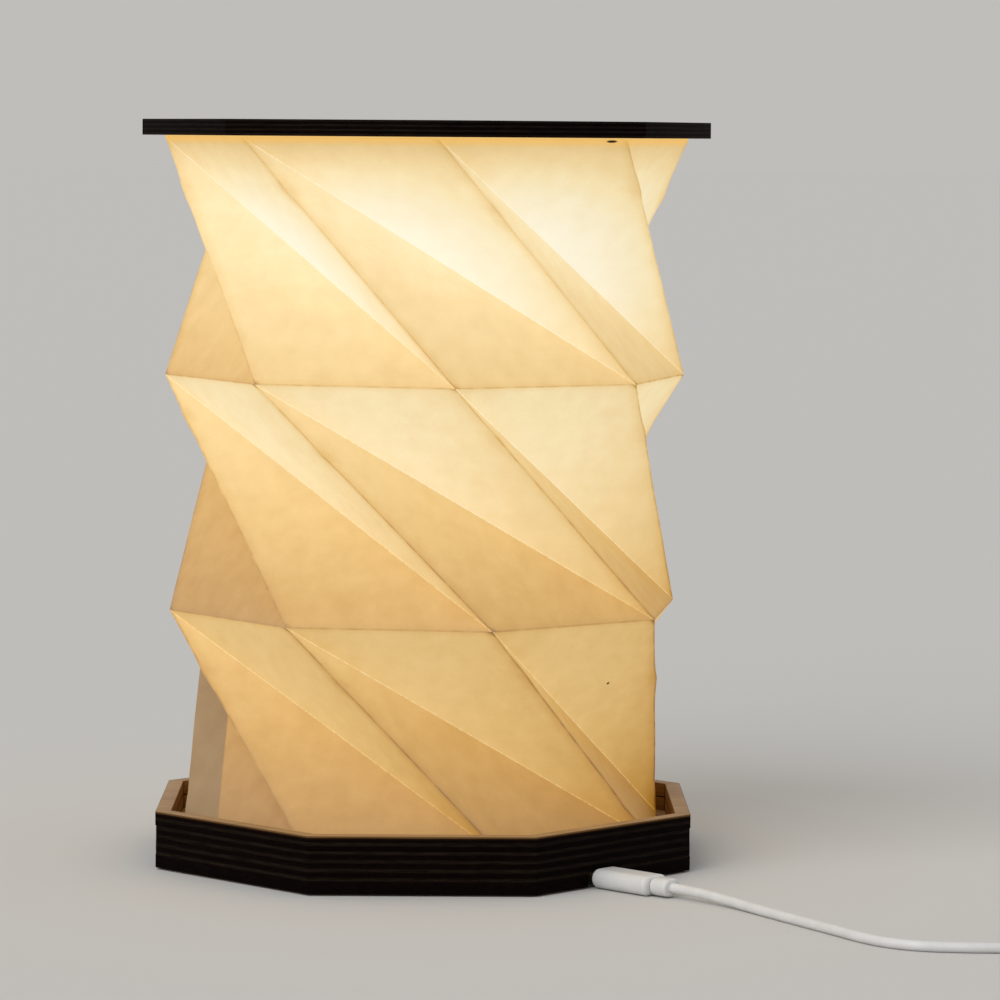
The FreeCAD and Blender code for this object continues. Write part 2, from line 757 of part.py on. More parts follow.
def crease_ring(radius, z, turn):
    """The eight corners of one level crease."""
    return [
        Vector(
            radius * math.cos(math.radians(turn + SIDE_ANGLE * k)),
            radius * math.sin(math.radians(turn + SIDE_ANGLE * k)),
            z,
        )
        for k in range(SIDES)
    ]


def face_of(*points):
    return Part.Face(Part.makePolygon([*points, points[0]]))


def upright_band(upper, lower):
    """Flat faces between two rings that stand over each other."""
    return [
        face_of(upper[k], upper[(k + 1) % SIDES], lower[(k + 1) % SIDES], lower[k])
        for k in range(SIDES)
    ]


def twisted_band(upper, lower):
    """One tier: each side is two triangles that meet in a valley, and a ridge joins the sides.

    Upper corner k has a ridge to lower corner k + 1 and a valley to lower corner k + 2.
    """
    faces = []
    for k in range(SIDES):
        right = upper[(k + 1) % SIDES]
        valley_end = lower[(k + 2) % SIDES]
        ridge_end = lower[(k + 3) % SIDES]
        faces.append(face_of(upper[k], right, valley_end))
        faces.append(face_of(right, ridge_end, valley_end))
    return faces


def folded_solid(inset, bottom_z, top_z):
    """The closed body inside the shade's folds, inset towards the axis."""
    radius = shade_radius - inset
    foot = foot_radius - inset
    top = crease_ring(radius, top_z, size["lid_turn"])
    top_crease = crease_ring(radius, top_crease_z, size["lid_turn"])
    upper_crease = crease_ring(radius, upper_crease_z, size["upper_turn"])
    lower_crease = crease_ring(radius, lower_crease_z, size["lower_turn"])
    foot_crease = crease_ring(foot, foot_crease_z, size["foot_turn"])
    bottom = crease_ring(foot, bottom_z, size["foot_turn"])
    faces = [face_of(*top), face_of(*bottom)]
    faces += upright_band(top, top_crease)
    faces += twisted_band(top_crease, upper_crease)
    faces += twisted_band(upper_crease, lower_crease)
    faces += twisted_band(lower_crease, foot_crease)
    faces += upright_band(foot_crease, bottom)
    shell = Part.Shell(faces)
    shell.sewShape()
    solid = Part.Solid(shell)
    if solid.Volume < 0:
        solid.reverse()
    return solid


def octagonal_prism(radius, z, height, turn):
    return face_of(*crease_ring(radius, z, turn)).extrude(Vector(0, 0, height))


def make_shade():
    """The folded sheet: a thin wall with its glue tabs turned in at the top and the bottom."""
    outside = folded_solid(0.0, floor_top_z, lid_z)
    tab = size["tab_thickness"]
    inside = folded_solid(size["paper_wall"], floor_top_z + tab, lid_z - tab)
    sheet_shape = outside.cut(inside)
    top_hole = shade_radius - size["tab_width"]
    foot_hole = foot_radius - size["tab_width"]
    sheet_shape = sheet_shape.cut(
        octagonal_prism(top_hole, lid_z - 2 * tab, 3 * tab, size["lid_turn"])
    )
    sheet_shape = sheet_shape.cut(
        octagonal_prism(foot_hole, floor_top_z - tab, 3 * tab, size["foot_turn"])
    )
    shade = doc.addObject("Part::Feature", "folded_sheet")
    shade.Shape = sheet_shape.Solids[0]
    keep(shade, "paper_shade")


def make_shade_rings():
    """Stiff octagonal rings inside the paper that press its tabs to the floor and to the lid."""
    tab = size["tab_thickness"]
    rings = (
        ("lower_shade_ring", FOOT_RADIUS, floor_top_z + tab, size["foot_turn"]),
        ("upper_shade_ring", SHADE_RADIUS, lid_z - tab - size["ring_thickness"], size["lid_turn"]),
    )
    for node, paper_radius, z, turn in rings:
        corner = f"({paper_radius} - paper_wall - ring_clearance)"
        outer = f"2 * cos({HALF_SIDE}) * {corner}"
        inner = f"2 * cos({HALF_SIDE}) * ({corner} - ring_width)"
        octagon_plate(node, outer, z, "ring_thickness", turn - HALF_SIDE, inner)


# ---- lid and light unit ----------------------------------------------------------------------


def add_cap_holes(sketch, kind, radius):
    """Circles where the cap's screws stand, in a sketch that has the lid's own axes."""
    for k, (x, y, angle) in enumerate(spots(size["cap_screw_count"], 1.0)):
        add_circle(
            sketch,
            kind + "_" + "abcdefgh"[k],
            radius,
            f"cap_screw_circle * cos({angle})",
            f"cap_screw_circle * sin({angle})",
        )


def make_top_plate():
    """The lid, with blind pilot holes under it for the cap's screws."""
    across = "base_width - 2 * lid_inset"
    body = octagon_plate("top_plate", across, lid_z, "lid_thickness", lid_placement_turn())
    pilots = new_sketch(body, "cap_pilots")
    add_cap_holes(pilots, "pilot", "cap_screw_radius")
    pocket(body, pilots, "cap_screw_bite", backwards=True)


def at_lid(x, y, depth, spin=0.0):
    """A place under the lid, in the lid's own turned axes."""
    return turned(0, 0, 0, lid_placement_turn()).multiply(
        FreeCAD.Placement(Vector(x, y, lid_z - depth), FreeCAD.Rotation(UP, spin))
    )


def make_led_board():
    """A round board flat under the lid, with a hole for the lead and three for the screws."""
    body = new_body("led_board", at_lid(0, 0, size["led_board_thickness"]))
    outline = new_sketch(body, "led_board_outline")
    add_circle(outline, "edge", "led_board_radius")
    add_cap_holes(outline, "screw_hole", "cap_screw_radius + screw_clearance")
    pad(body, outline, "led_board_thickness")


def make_led_chips():
    depth = size["led_board_thickness"] + size["led_height"]
    chips = []
    for k, (x, y, angle) in enumerate(spots(size["led_count"], size["led_circle_radius"], size["led_turn"])):
        place = at_lid(x, y, depth, angle + 90)
        chips.append(box(f"led_chip_{k}", "led_length", "led_width", "led_height", place))
    group("led_chips", chips)


def make_led_cap():
    """A shallow milky cup round the board, with posts that its screws pass through."""
    body = new_body("led_diffuser", at_lid(0, 0, size["cap_height"]))
    outline = new_sketch(body, "cap_outline")
    add_circle(outline, "outside", "led_board_radius + cap_gap + cap_wall")
    cup = pad(body, outline, "cap_height")

    def lower_edge(edge):
        return abs(edge.BoundBox.ZMax) < 0.01

    round_edges(body, cup, "cap_wall", lower_edge)
    above_floor = FreeCAD.Placement(Vector(0, 0, size["cap_wall"]), FreeCAD.Rotation())
    inside = new_sketch(body, "cap_inside", offset=above_floor)
    add_circle(inside, "inside", "led_board_radius + cap_gap")
    add_cap_holes(inside, "post", "cap_post_radius")
    pocket(body, inside, "cap_height", backwards=True)
    under_board = size["cap_height"] - size["led_board_thickness"]
    seat_place = FreeCAD.Placement(Vector(0, 0, under_board), FreeCAD.Rotation())
    over_board = new_sketch(body, "board_seat", offset=seat_place)
    add_circle(over_board, "seat", "led_board_radius + cap_gap / 2")
    pocket(body, over_board, "led_board_thickness", backwards=True)
    bores = new_sketch(body, "cap_bores")
    add_circle(bores, "lead_hole", "lead_radius + lead_clearance")
    add_cap_holes(bores, "bore", "cap_screw_radius + screw_clearance")
    pocket(body, bores, "cap_height", backwards=True)


def make_led_screws():
    """Screws up through the cap's posts and the board into the lid."""
    screws = []
    for k, (x, y, angle) in enumerate(spots(size["cap_screw_count"], size["cap_screw_circle"])):
        head = cylinder(
            f"cap_screw_head_{k}",
            "screw_head_radius",
            "screw_head_height",
            at_lid(x, y, size["cap_height"] + size["screw_head_height"]),
        )
        shank = cylinder(
            f"cap_screw_shank_{k}",
            "cap_screw_radius",
            "cap_height + cap_screw_bite",
            at_lid(x, y, size["cap_height"]),
        )
        screws.append(fuse(f"cap_screw_{k}", [head, shank]))
    group("led_screws", screws)


# ---- supply cable ----------------------------------------------------------------------------


def end_edges(edge, where):
    """Edges of a section that lies wholly at one distance along the body's own X axis."""
    limits = edge.BoundBox
    return abs(limits.XMin - where) < 0.01 and abs(limits.XMax - where) < 0.01


def moulded_bar(node, place, width, height, corner, length, rounding):
    """A moulded body with round corners and softened ends, running out along its own X axis."""
    body = new_body(node, place)
    section = new_sketch(body, node + "_section", YZ)
    add_rounded_section(section, width, height, corner)
    bar = pad(body, section, length)
    far = bar.Length.Value
    round_edges(body, bar, rounding, lambda edge: end_edges(edge, far))
    return body


def hollow_bar(node, place, width, height, corner, wall, length):
    """A folded metal shell, open at its far end and closed at its near end."""
    body = new_body(node, place)
    section = new_sketch(body, node + "_section", YZ)
    add_rounded_section(section, width, height, corner)
    bar = pad(body, section, length)
    tip = FreeCAD.Placement(Vector(0, 0, bar.Length.Value), FreeCAD.Rotation())
    cavity = new_sketch(body, node + "_cavity", YZ, tip)
    add_rounded_section(
        cavity, f"{width} - 2 * {wall}", f"{height} - 2 * {wall}", f"({corner}) - {wall}"
    )
    pocket(body, cavity, f"{length} - {wall}")
    return body


def make_plug():
    """The plug at the lamp: metal tongue in the socket, moulded body and strain relief outside."""
    shoulder = face_reach + size["plug_gap"]
    z = socket_z
    inward = beside_socket(shoulder, 0, z).multiply(
        FreeCAD.Placement(Vector(), FreeCAD.Rotation(UP, 180))
    )
    hollow_bar(
        "usb_c_shell",
        inward,
        "plug_tongue_width",
        "plug_tongue_height",
        "(plug_tongue_height - section_flat) / 2",
        "plug_tongue_wall",
        "plug_tongue_length",
    )
    moulded_bar(
        "usb_c_body",
        beside_socket(shoulder, 0, z),
        "plug_width",
        "plug_height",
        "(plug_height - section_flat) / 2",
        "plug_length",
        "plug_round",
    )
    moulded_bar(
        "usb_c_boot",
        beside_socket(shoulder + size["plug_length"], 0, z),
        "boot_width",
        "boot_height",
        "(boot_height - section_flat) / 2",
        "boot_length",
        "boot_round",
    )


TABLE = size["cable_radius"]
COIL_HALF_TURNS_IN = 6
COIL_HALF_TURNS_OUT = 5
boot_end = beside_socket(
    face_reach + size["plug_gap"] + size["plug_length"] + size["boot_length"], 0, socket_z
).Base
plug_direction = FreeCAD.Rotation(UP, SOCKET_TURN).multVec(Vector(1, 0, 0))

# The lead's route over the table, measured across the table from the end of the strain relief.
LEAD_ROUTE = [
    (16.8, -16.3, 2.2),
    (25.3, -29.8, TABLE),
    (35.7, -48.0, TABLE),
    (46.7, -66.5, TABLE),
    (56.7, -84.6, TABLE),
    (68.0, -94.0, TABLE),
    (81.5, -96.7, TABLE),
    (97.5, -97.0, TABLE),
    (113.5, -97.8, TABLE),
]
LEAD_EXIT = 9.0
COIL_START = (129.2, -97.8)

# The tail's route, measured across the table from the end of the coil.
TAIL_EXIT = 9.5
far_plug_z = size["far_plug_height"] / 2 + size["plug_rise"]
TAIL_ROUTE = [
    (20.0, 2.8, TABLE + 2.2),
    (30.0, 8.9, TABLE),
    (35.3, 19.7, TABLE + 0.9),
    (35.9, 30.5, far_plug_z),
    (35.9, 39.5, far_plug_z),
]


def over_table(start, across, along, z):
    return Vector(start.x + across, start.y + along, z)


def biarc(start, start_direction, end, end_direction):
    """Two arcs that join two points and leave each along its direction."""
    gap = end - start
    both = start_direction + end_direction
    across = 2 * (1 - start_direction.dot(end_direction))
    reach = (
        -gap.dot(both) + math.sqrt(gap.dot(both) ** 2 + across * gap.dot(gap))
    ) / across
    first_corner = start + start_direction * reach
    second_corner = end - end_direction * reach
    joint = (first_corner + second_corner) * 0.5
    return [
        arc_through(start, first_corner, joint, reach),
        arc_through(joint, second_corner, end, reach),
    ]


def arc_through(start, corner, end, reach):
    """The arc that touches both legs of a corner, each leg as long as reach."""
    arrive = (corner - start).normalize()
    leave = (end - corner).normalize()
    turn = arrive.getAngle(leave)
    radius = reach / math.tan(turn / 2)
    inward = (leave - arrive).normalize()
    middle = corner + inward * (radius / math.cos(turn / 2) - radius)
    return Part.Arc(start, middle, end).toShape()


def make_cable_coil():
    """Twelve half turns: in along the table, up a layer where they reverse, and out again."""
    step = size["coil_step"] / 2
    outer = size["coil_radius"]
    inner = outer - COIL_HALF_TURNS_IN * step
    stations = [(outer - k * step, TABLE) for k in range(COIL_HALF_TURNS_IN + 1)]
    upper_z = TABLE + size["coil_layer_step"]
    stations += [(inner + k * step, upper_z) for k in range(COIL_HALF_TURNS_OUT + 1)]
    straight = Vector(2 * size["cable_radius"], 0, 0)
    start = over_table(boot_end, *COIL_START, TABLE)
    centre = start + straight + Vector(0, outer, -TABLE)
    points, directions = [], []
    for k, (radius, z) in enumerate(stations):
        side = -1 if k % 2 == 0 else 1
        points.append(centre + Vector(0, side * radius, z))
        directions.append(Vector(-side, 0, 0))
    edges = [Part.LineSegment(start, points[0]).toShape()]
    for k in range(len(points) - 1):
        edges += biarc(points[k], directions[k], points[k + 1], directions[k + 1])
    end = points[-1] + straight
    edges.append(Part.LineSegment(points[-1], end).toShape())
    wire = Part.Wire(edges)
    coil = doc.addObject("Part::Feature", "cable_coil_tube")
    coil.Shape = tube_along(wire, size["cable_radius"])
    keep(coil, "cable_coil")
    print(f"cable_coil: {wire.Length:.1f} long, least gap {least_gap(wire):.2f}")
    return start, end, wire.Length


def least_gap(wire):
    """The least clear distance between neighbouring turns, measured on points along the wire."""
    spacing = 1.5
    points = wire.discretize(Distance=spacing)
    skip = int(math.pi * 10.0 / spacing)
    nearest = min(
        points[i].distanceToPoint(points[j])
        for i in range(len(points))
        for j in range(i + skip, len(points))
    )
    return nearest - 2 * size["cable_radius"]


def make_cable():
    """From the strain relief across the table, into the coil, and out to the far plug."""
    coil_start, coil_end, coil_length = make_cable_coil()
    route = [boot_end, boot_end + plug_direction * LEAD_EXIT]
    route += [over_table(boot_end, *place) for place in LEAD_ROUTE]
    route.append(coil_start)
    lead_length = add_tube("cable_lead", route, size["cable_radius"])
    tail = [coil_end, coil_end + Vector(TAIL_EXIT, 0, 0)]
    tail += [over_table(coil_end, *place) for place in TAIL_ROUTE]
    tail_length = add_tube("cable_tail", tail, size["cable_radius"])
    print(f"cable: {lead_length + coil_length + tail_length:.0f} long in all")
    return tail[-1]


def make_far_plug(start):
    """The far plug lies beside the coil, pointing away from the cable."""
    north = FreeCAD.Rotation(UP, 90)
    boot = doc.addObject("Part::Cone", "far_boot")
    bind(boot, "Radius1", "cable_radius + 0.5")
    bind(boot, "Radius2", "far_boot_radius")
    bind(boot, "Height", "far_boot_length")
    boot.Placement = FreeCAD.Placement(start, FreeCAD.Rotation(Vector(1, 0, 0), -90))
    keep(boot, "usb_a_boot")
    body_start = start + Vector(0, size["far_boot_length"], 0)
    moulded_bar(
        "usb_a_body",
        FreeCAD.Placement(body_start, north),
        "far_plug_width",
        "far_plug_height",
        "far_plug_corner",
        "far_plug_length",
        "far_plug_round",
    )
    shell_start = body_start + Vector(0, size["far_plug_length"], 0)
    hollow_bar(
        "usb_a_shell",
        FreeCAD.Placement(shell_start, north),
        "far_shell_width",
        "far_shell_height",
        "far_shell_corner",
        "far_shell_wall",
        "far_shell_length",
    )
    tongue_length = size["far_shell_length"] - 2 * size["far_shell_wall"]
    tongue = box(
        "far_tongue",
        "far_shell_length - 2 * far_shell_wall",
        "far_shell_width - 2 * far_shell_wall - 2 * far_tongue_gap",
        "far_tongue_height",
        FreeCAD.Placement(
            shell_start
            + Vector(
                0,
                size["far_shell_wall"] + tongue_length / 2,
                -size["far_shell_height"] / 2 + size["far_shell_wall"],
            ),
            north,
        ),
    )
    keep(tongue, "usb_a_tongue")


# ---- build, check and write ------------------------------------------------------------------


def build():
    make_felt_pad()
    make_base_frame()
    make_floor_plate()
    make_rims()
    make_socket()
    make_driver_board()
    make_board_parts()
    make_board_fixings()
    make_grommet()
    make_lead()
    make_shade()
    make_shade_rings()
    make_top_plate()
    make_led_board()
    make_led_chips()
    make_led_cap()
    make_led_screws()
    make_plug()
    make_far_plug(make_cable())
    doc.recompute()


def check():
    for obj in doc.Objects:
        if "Invalid" in obj.State or "Error" in obj.State:
            raise RuntimeError(f"{obj.Name} did not compute: {obj.State}")
    for node, obj in nodes.items():
        shape = obj.Shape
        if shape.isNull() or not shape.isValid() or not shape.Solids:
            raise RuntimeError(f"{node} has no valid solid")


def export():
    os.makedirs("parts", exist_ok=True)
    for node, obj in nodes.items():
        obj.Shape.exportStep(f"parts/{node}.step")
    print(len(nodes), "nodes,", f"{lid_z + size['lid_thickness']:.1f} high to the top of the lid,",
          f"rim top at {rim_top_z:.2f}, lid underside at {lid_z:.2f}")


build()
check()
export()
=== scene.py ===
# %% [markdown]
# # A pleated paper table lamp
# The lamp is a folded paper shade between an eight-sided plywood tray and a plywood lid. A light
# unit under the lid makes the paper glow, and a thin white cable with a small plug brings the
# supply. The engineering model has every piece at its real size, and this lesson dresses it: it
# makes the pieces that show again with fine edges, and gives each surface its finish.

# %% The frame
import bpy
import math
import numpy as np
from mathutils import Matrix, Vector


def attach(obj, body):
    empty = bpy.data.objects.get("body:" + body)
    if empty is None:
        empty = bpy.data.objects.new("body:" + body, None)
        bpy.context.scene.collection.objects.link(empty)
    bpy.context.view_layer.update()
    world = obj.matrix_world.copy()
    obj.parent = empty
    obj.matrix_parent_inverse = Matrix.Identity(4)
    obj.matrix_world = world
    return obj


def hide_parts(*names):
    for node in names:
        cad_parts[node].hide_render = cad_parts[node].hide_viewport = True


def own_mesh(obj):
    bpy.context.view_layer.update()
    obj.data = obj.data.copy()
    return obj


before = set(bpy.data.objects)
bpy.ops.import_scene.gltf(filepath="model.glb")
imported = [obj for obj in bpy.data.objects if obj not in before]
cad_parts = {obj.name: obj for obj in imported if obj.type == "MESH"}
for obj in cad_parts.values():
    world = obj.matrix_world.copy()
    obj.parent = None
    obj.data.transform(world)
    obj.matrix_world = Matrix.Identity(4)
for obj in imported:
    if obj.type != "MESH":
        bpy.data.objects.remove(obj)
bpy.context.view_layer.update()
mm = 0.001

# %% [markdown]
# ## The camera
# The photograph was taken with a long lens from about a metre and a half away, slightly above the
# lamp's middle and looking a little down. A long lens keeps upright edges nearly parallel, so the
# camera stands far off with a narrow view rather than near with a wide one.

# %% Camera
CAMERA_PLACE = Vector((7.52, -1557.66, 247.38)) * mm
LOOK_ASIDE, LOOK_DOWN, ROLL = -0.662, 85.413, 0.417
LENS = 164.19


def turned(degrees, axis):
    return Matrix.Rotation(math.radians(degrees), 4, axis)


bpy.ops.object.select_all(action="DESELECT")
bpy.ops.object.camera_add(location=CAMERA_PLACE)
camera = bpy.context.object
camera.rotation_euler = (turned(LOOK_ASIDE, "Z") @ turned(LOOK_DOWN, "X") @ turned(ROLL, "Z")).to_euler()
camera.data.lens = LENS
camera.data.sensor_width = 36
bpy.context.scene.camera = camera
print("camera at", [round(v, 3) for v in camera.location], "lens", LENS)

# %% [markdown]
# ## The supply cable
# A soft white cable leaves the strain relief of the small plug, swings across the table to the
# right and is wound into a coil, because a lamp on a shelf doesn't use its whole length. It could
# be a swept mesh, but one smooth curve with a round section is quicker to shape, bends evenly and
# can be measured. Its control points are those of the engineering model's route.

# %% Route from the plug to the coil
CABLE_RADIUS = 1.65 * mm
FACE_TURN = -45  # the tray's face with the socket looks to the front right
OUT = turned(FACE_TURN, "Z") @ Vector((1, 0, 0))
ALONG = turned(FACE_TURN, "Z") @ Vector((0, 1, 0))
SOCKET_OFFSET, PLUG_HEIGHT = -6 * mm, 3.4 * mm


def beside_socket(out, along=0.0, height=PLUG_HEIGHT):
    """A point out from the lamp's axis, in line with the socket."""
    place = OUT * out + ALONG * (SOCKET_OFFSET + along)
    return Vector((place.x, place.y, height))


relief_end = beside_socket(121.3 * mm)
TABLE = CABLE_RADIUS


def from_relief(right, back, height=TABLE):
    return Vector((relief_end.x + right * mm, relief_end.y + back * mm, height))


lead = [relief_end, relief_end + OUT * 9 * mm, from_relief(16.8, -16.3, 2.2 * mm)]
for right, back in ((25.3, -29.8), (35.7, -48.0), (46.7, -66.5), (56.7, -84.6), (68.0, -94.0),
                    (81.5, -96.7), (97.5, -97.0), (113.5, -97.8), (129.2, -97.8)):
    lead.append(from_relief(right, back))
print("cable leaves the strain relief at", [round(v / mm, 1) for v in relief_end])

# %% The coil's turns
COIL_CENTRE = Vector((214.03, -162.21, 0)) * mm
COIL_RADIUS, HALF_TURN_STEP, LAYER_STEP = 25.6 * mm, 2.3 * mm, 3.8 * mm
HALF_TURNS, CLIMB = 12, 6
STEPS = 12  # control points for each half turn


def winding(station):
    """The cable's distance from the coil's centre after so many half turns."""
    inwards = station if station <= CLIMB else 2 * CLIMB + 1 - station
    return COIL_RADIUS - HALF_TURN_STEP * inwards


def coil_points():
    points = []
    for half in range(HALF_TURNS):
        before, after = winding(half), winding(half + 1)
        side = -1 if half % 2 == 0 else 1  # starts at the front, or at the back
        middle = COIL_CENTRE + Vector((0, side * (before - after) / 2, 0))
        radius = (before + after) / 2 / math.cos(math.pi / STEPS / 2)
        for step in range(STEPS):
            share = (step + 0.5) / STEPS
            angle = math.radians(side * 90 + 180 * share)
            rise = 0.0 if half < CLIMB else 1.0
            if half == CLIMB:
                rise = (1 - math.cos(math.pi * share)) / 2
            points.append(middle + Vector((radius * math.cos(angle), radius * math.sin(angle),
                                           TABLE + LAYER_STEP * rise)))
    return points


coil = coil_points()
print("coil of", HALF_TURNS / 2, "turns,", len(coil), "control points")

# %% From the coil to the far plug
coil_end = Vector((217.33, -185.51, 5.45)) * mm
tail = [coil_end, coil_end + Vector((9.5, 0, 0)) * mm]
for right, back, height in ((20.0, 2.8, 3.85), (30.0, 8.9, 1.65), (35.3, 19.7, 2.55),
                            (35.9, 30.5, 4.15), (35.9, 39.5, 4.15)):
    tail.append(Vector((coil_end.x + right * mm, coil_end.y + back * mm, height * mm)))
print("cable ends in the far plug at", [round(v / mm, 1) for v in tail[-1]])

# %% The cable as one smooth curve
cable_curve = bpy.data.curves.new("supply_cable", "CURVE")
cable_curve.dimensions = "3D"
cable_curve.bevel_depth = 1  # times each point's radius
cable_curve.bevel_resolution = 5
cable_curve.resolution_u = 6
cable_curve.use_fill_caps = True
spline = cable_curve.splines.new("NURBS")
cable_points = lead + coil + tail
spline.points.add(len(cable_points) - 1)
for point, place in zip(spline.points, cable_points):
    point.co = (*place, 1)
    point.radius = CABLE_RADIUS
spline.order_u = 3
spline.use_endpoint_u = True
cable = bpy.data.objects.new("supply_cable", cable_curve)
bpy.context.scene.collection.objects.link(cable)
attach(cable, "base")
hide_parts("cable_lead", "cable_coil", "cable_tail")
print("cable of", len(cable_points), "control points")

# %% [markdown]
# ## Helpers for modelling
# Every new piece starts as a primitive at its size and place and is shaped in edit mode, as by
# hand. These helpers select faces or edges by a rule, apply a modifier, and put a finished
# piece's place into its mesh, so that its object sits at the origin as the model's nodes do.


# %% Selecting, finishing and placing
def only(piece):
    bpy.ops.object.select_all(action="DESELECT")
    piece.select_set(True)
    bpy.context.view_layer.objects.active = piece


def select_parts(piece, kind, wanted):
    """Leaves the piece in edit mode with the wanted faces, edges or vertices selected."""
    only(piece)
    bpy.ops.object.mode_set(mode="EDIT")
    bpy.ops.mesh.select_mode(type=kind)
    bpy.ops.mesh.select_all(action="DESELECT")
    bpy.ops.object.mode_set(mode="OBJECT")
    parts = {"FACE": piece.data.polygons, "EDGE": piece.data.edges, "VERT": piece.data.vertices}[kind]
    for part in parts:
        part.select = wanted(part)
    bpy.ops.object.mode_set(mode="EDIT")


def edge_points(piece, edge):
    return [piece.data.vertices[i].co for i in edge.vertices]


def done():
    bpy.ops.object.mode_set(mode="OBJECT")


def apply_modifier(piece, kind, **settings):
    only(piece)
    modifier = piece.modifiers.new(kind.title(), kind)
    for setting, value in settings.items():
        setattr(modifier, setting, value)
    bpy.ops.object.modifier_apply(modifier=modifier.name)


def settle(piece, body, nodes):
    """Puts the place into the mesh, puts the piece on its body and hides the model's nodes that it stands for.
    """
    only(piece)
    bpy.ops.object.transform_apply(location=True, rotation=True, scale=True)
    bpy.ops.object.shade_smooth_by_angle(angle=math.radians(28))
    piece.data.name = piece.name
    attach(piece, body)
    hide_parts(*nodes)
    print(piece.name, "has", len(piece.data.polygons), "faces and measures",
          [round(v / mm, 1) for v in piece.dimensions])


# %% [markdown]
# ## Materials
# The finishes are built first, so that each piece can take its own as it is made. Pictures of wood
# or paper would need files and would stretch over the folds, so every pattern here is worked out
# from the piece's own coordinates, at the size that it has on the real stuff.


# %% Node helpers
def new_material(name, **constants):
    """A material with a principled shader, whose plain constants are set on its own sockets."""
    material = bpy.data.materials.new(name)
    material.use_nodes = True
    shader = material.node_tree.nodes["Principled BSDF"]
    for socket, value in constants.items():
        shader.inputs[socket.replace("_", " ")].default_value = value
    return material, material.node_tree, shader


def add_node(tree, kind, inputs=(), **settings):
    """A node; its inputs are given by name as numbers or as another node's output."""
    node = tree.nodes.new("ShaderNode" + kind)
    for name, value in settings.items():
        setattr(node, name, value)
    for name, value in dict(inputs).items():
        if isinstance(value, bpy.types.NodeSocket):
            tree.links.new(value, node.inputs[name])
        else:
            node.inputs[name].default_value = value
    return node


def maths(tree, operation, first, second=0.0):
    return add_node(tree, "Math", {0: first, 1: second}, operation=operation).outputs[0]


def fade(tree, value, near, far, at_near=1.0, at_far=0.0):
    """Goes smoothly from at_near to at_far while the value goes from near to far."""
    return add_node(tree, "MapRange", {"Value": value, "From Min": near, "From Max": far,
                                       "To Min": at_near, "To Max": at_far},
                    interpolation_type="SMOOTHSTEP").outputs["Result"]


def noise(tree, place, size, detail=3.0):
    """Soft noise whose blotches measure size = (along X, Y, Z) metres."""
    spread = add_node(tree, "Mapping", {"Vector": place, "Scale": [1 / s for s in size]})
    return add_node(tree, "TexNoise", {"Vector": spread.outputs[0], "Scale": 1.0, "Detail": detail}).outputs[0]


def ramp(tree, value, stops):
    """Colours along a scale: stops are (position, colour)."""
    node = add_node(tree, "ValToRGB", {"Fac": value})
    marks = node.color_ramp.elements
    for position, colour in stops[1:-1]:
        marks.new(position)
    for mark, (position, colour) in zip(marks, stops):
        mark.position, mark.color = position, (*colour, 1)
    return node.outputs["Color"]


def blend_colours(tree, share, first, second):
    node = add_node(tree, "Mix", data_type="RGBA")
    for index, value in ((0, share), (6, first), (7, second)):
        if isinstance(value, bpy.types.NodeSocket):
            tree.links.new(value, node.inputs[index])
        else:
            node.inputs[index].default_value = value if index == 0 else (*value, 1)
    return node.outputs[2]


def add_colours(tree, first, second):
    return add_node(tree, "VectorMath", {0: first, 1: second}, operation="ADD").outputs[0]


def own_place(tree):
    return add_node(tree, "TexCoord").outputs["Object"]


def raise_surface(tree, shader, height, distance, strength=1.0):
    bump = add_node(tree, "Bump", {"Height": height, "Distance": distance, "Strength": strength})
    tree.links.new(bump.outputs["Normal"], shader.inputs["Normal"])


# %% [markdown]
# ## Plywood
# The boards are birch plywood: a pale face with long fine streaks and a few short dark pores, and
# edges that the laser has burnt. On the edges the veneers that run along the cut stay a little
# lighter than those cut across, which gives the dark brown stripes. The tray's stack and the lid
# each have a narrow brown band at the face beside the paper, partly bare wood and partly painted
# warm light from the glowing paper. Inner edges, which face the paper, are browner all over with
# that painted light.

# %% Birch face
BIRCH, tree, shader = new_material("birch_face", Roughness=0.55)
place = own_place(tree)
streaks = noise(tree, place, (38 * mm, 0.9 * mm, 38 * mm), 4)
clouds = noise(tree, place, (70 * mm, 9 * mm, 70 * mm), 2)
grain = maths(tree, "ADD", maths(tree, "MULTIPLY", streaks, 0.55), maths(tree, "MULTIPLY", clouds, 0.45))
wood = ramp(tree, grain, [(0.32, (0.25, 0.140, 0.056)), (0.50, (0.35, 0.207, 0.088)),
                          (0.68, (0.42, 0.268, 0.124))])
pores = fade(tree, noise(tree, place, (4.5 * mm, 0.22 * mm, 4.5 * mm), 2), 0.66, 0.74, 0.0, 0.55)
wood = blend_colours(tree, pores, wood, (0.13, 0.07, 0.03))
tree.links.new(wood, shader.inputs["Base Color"])
raise_surface(tree, shader, streaks, 0.05 * mm, 0.6)

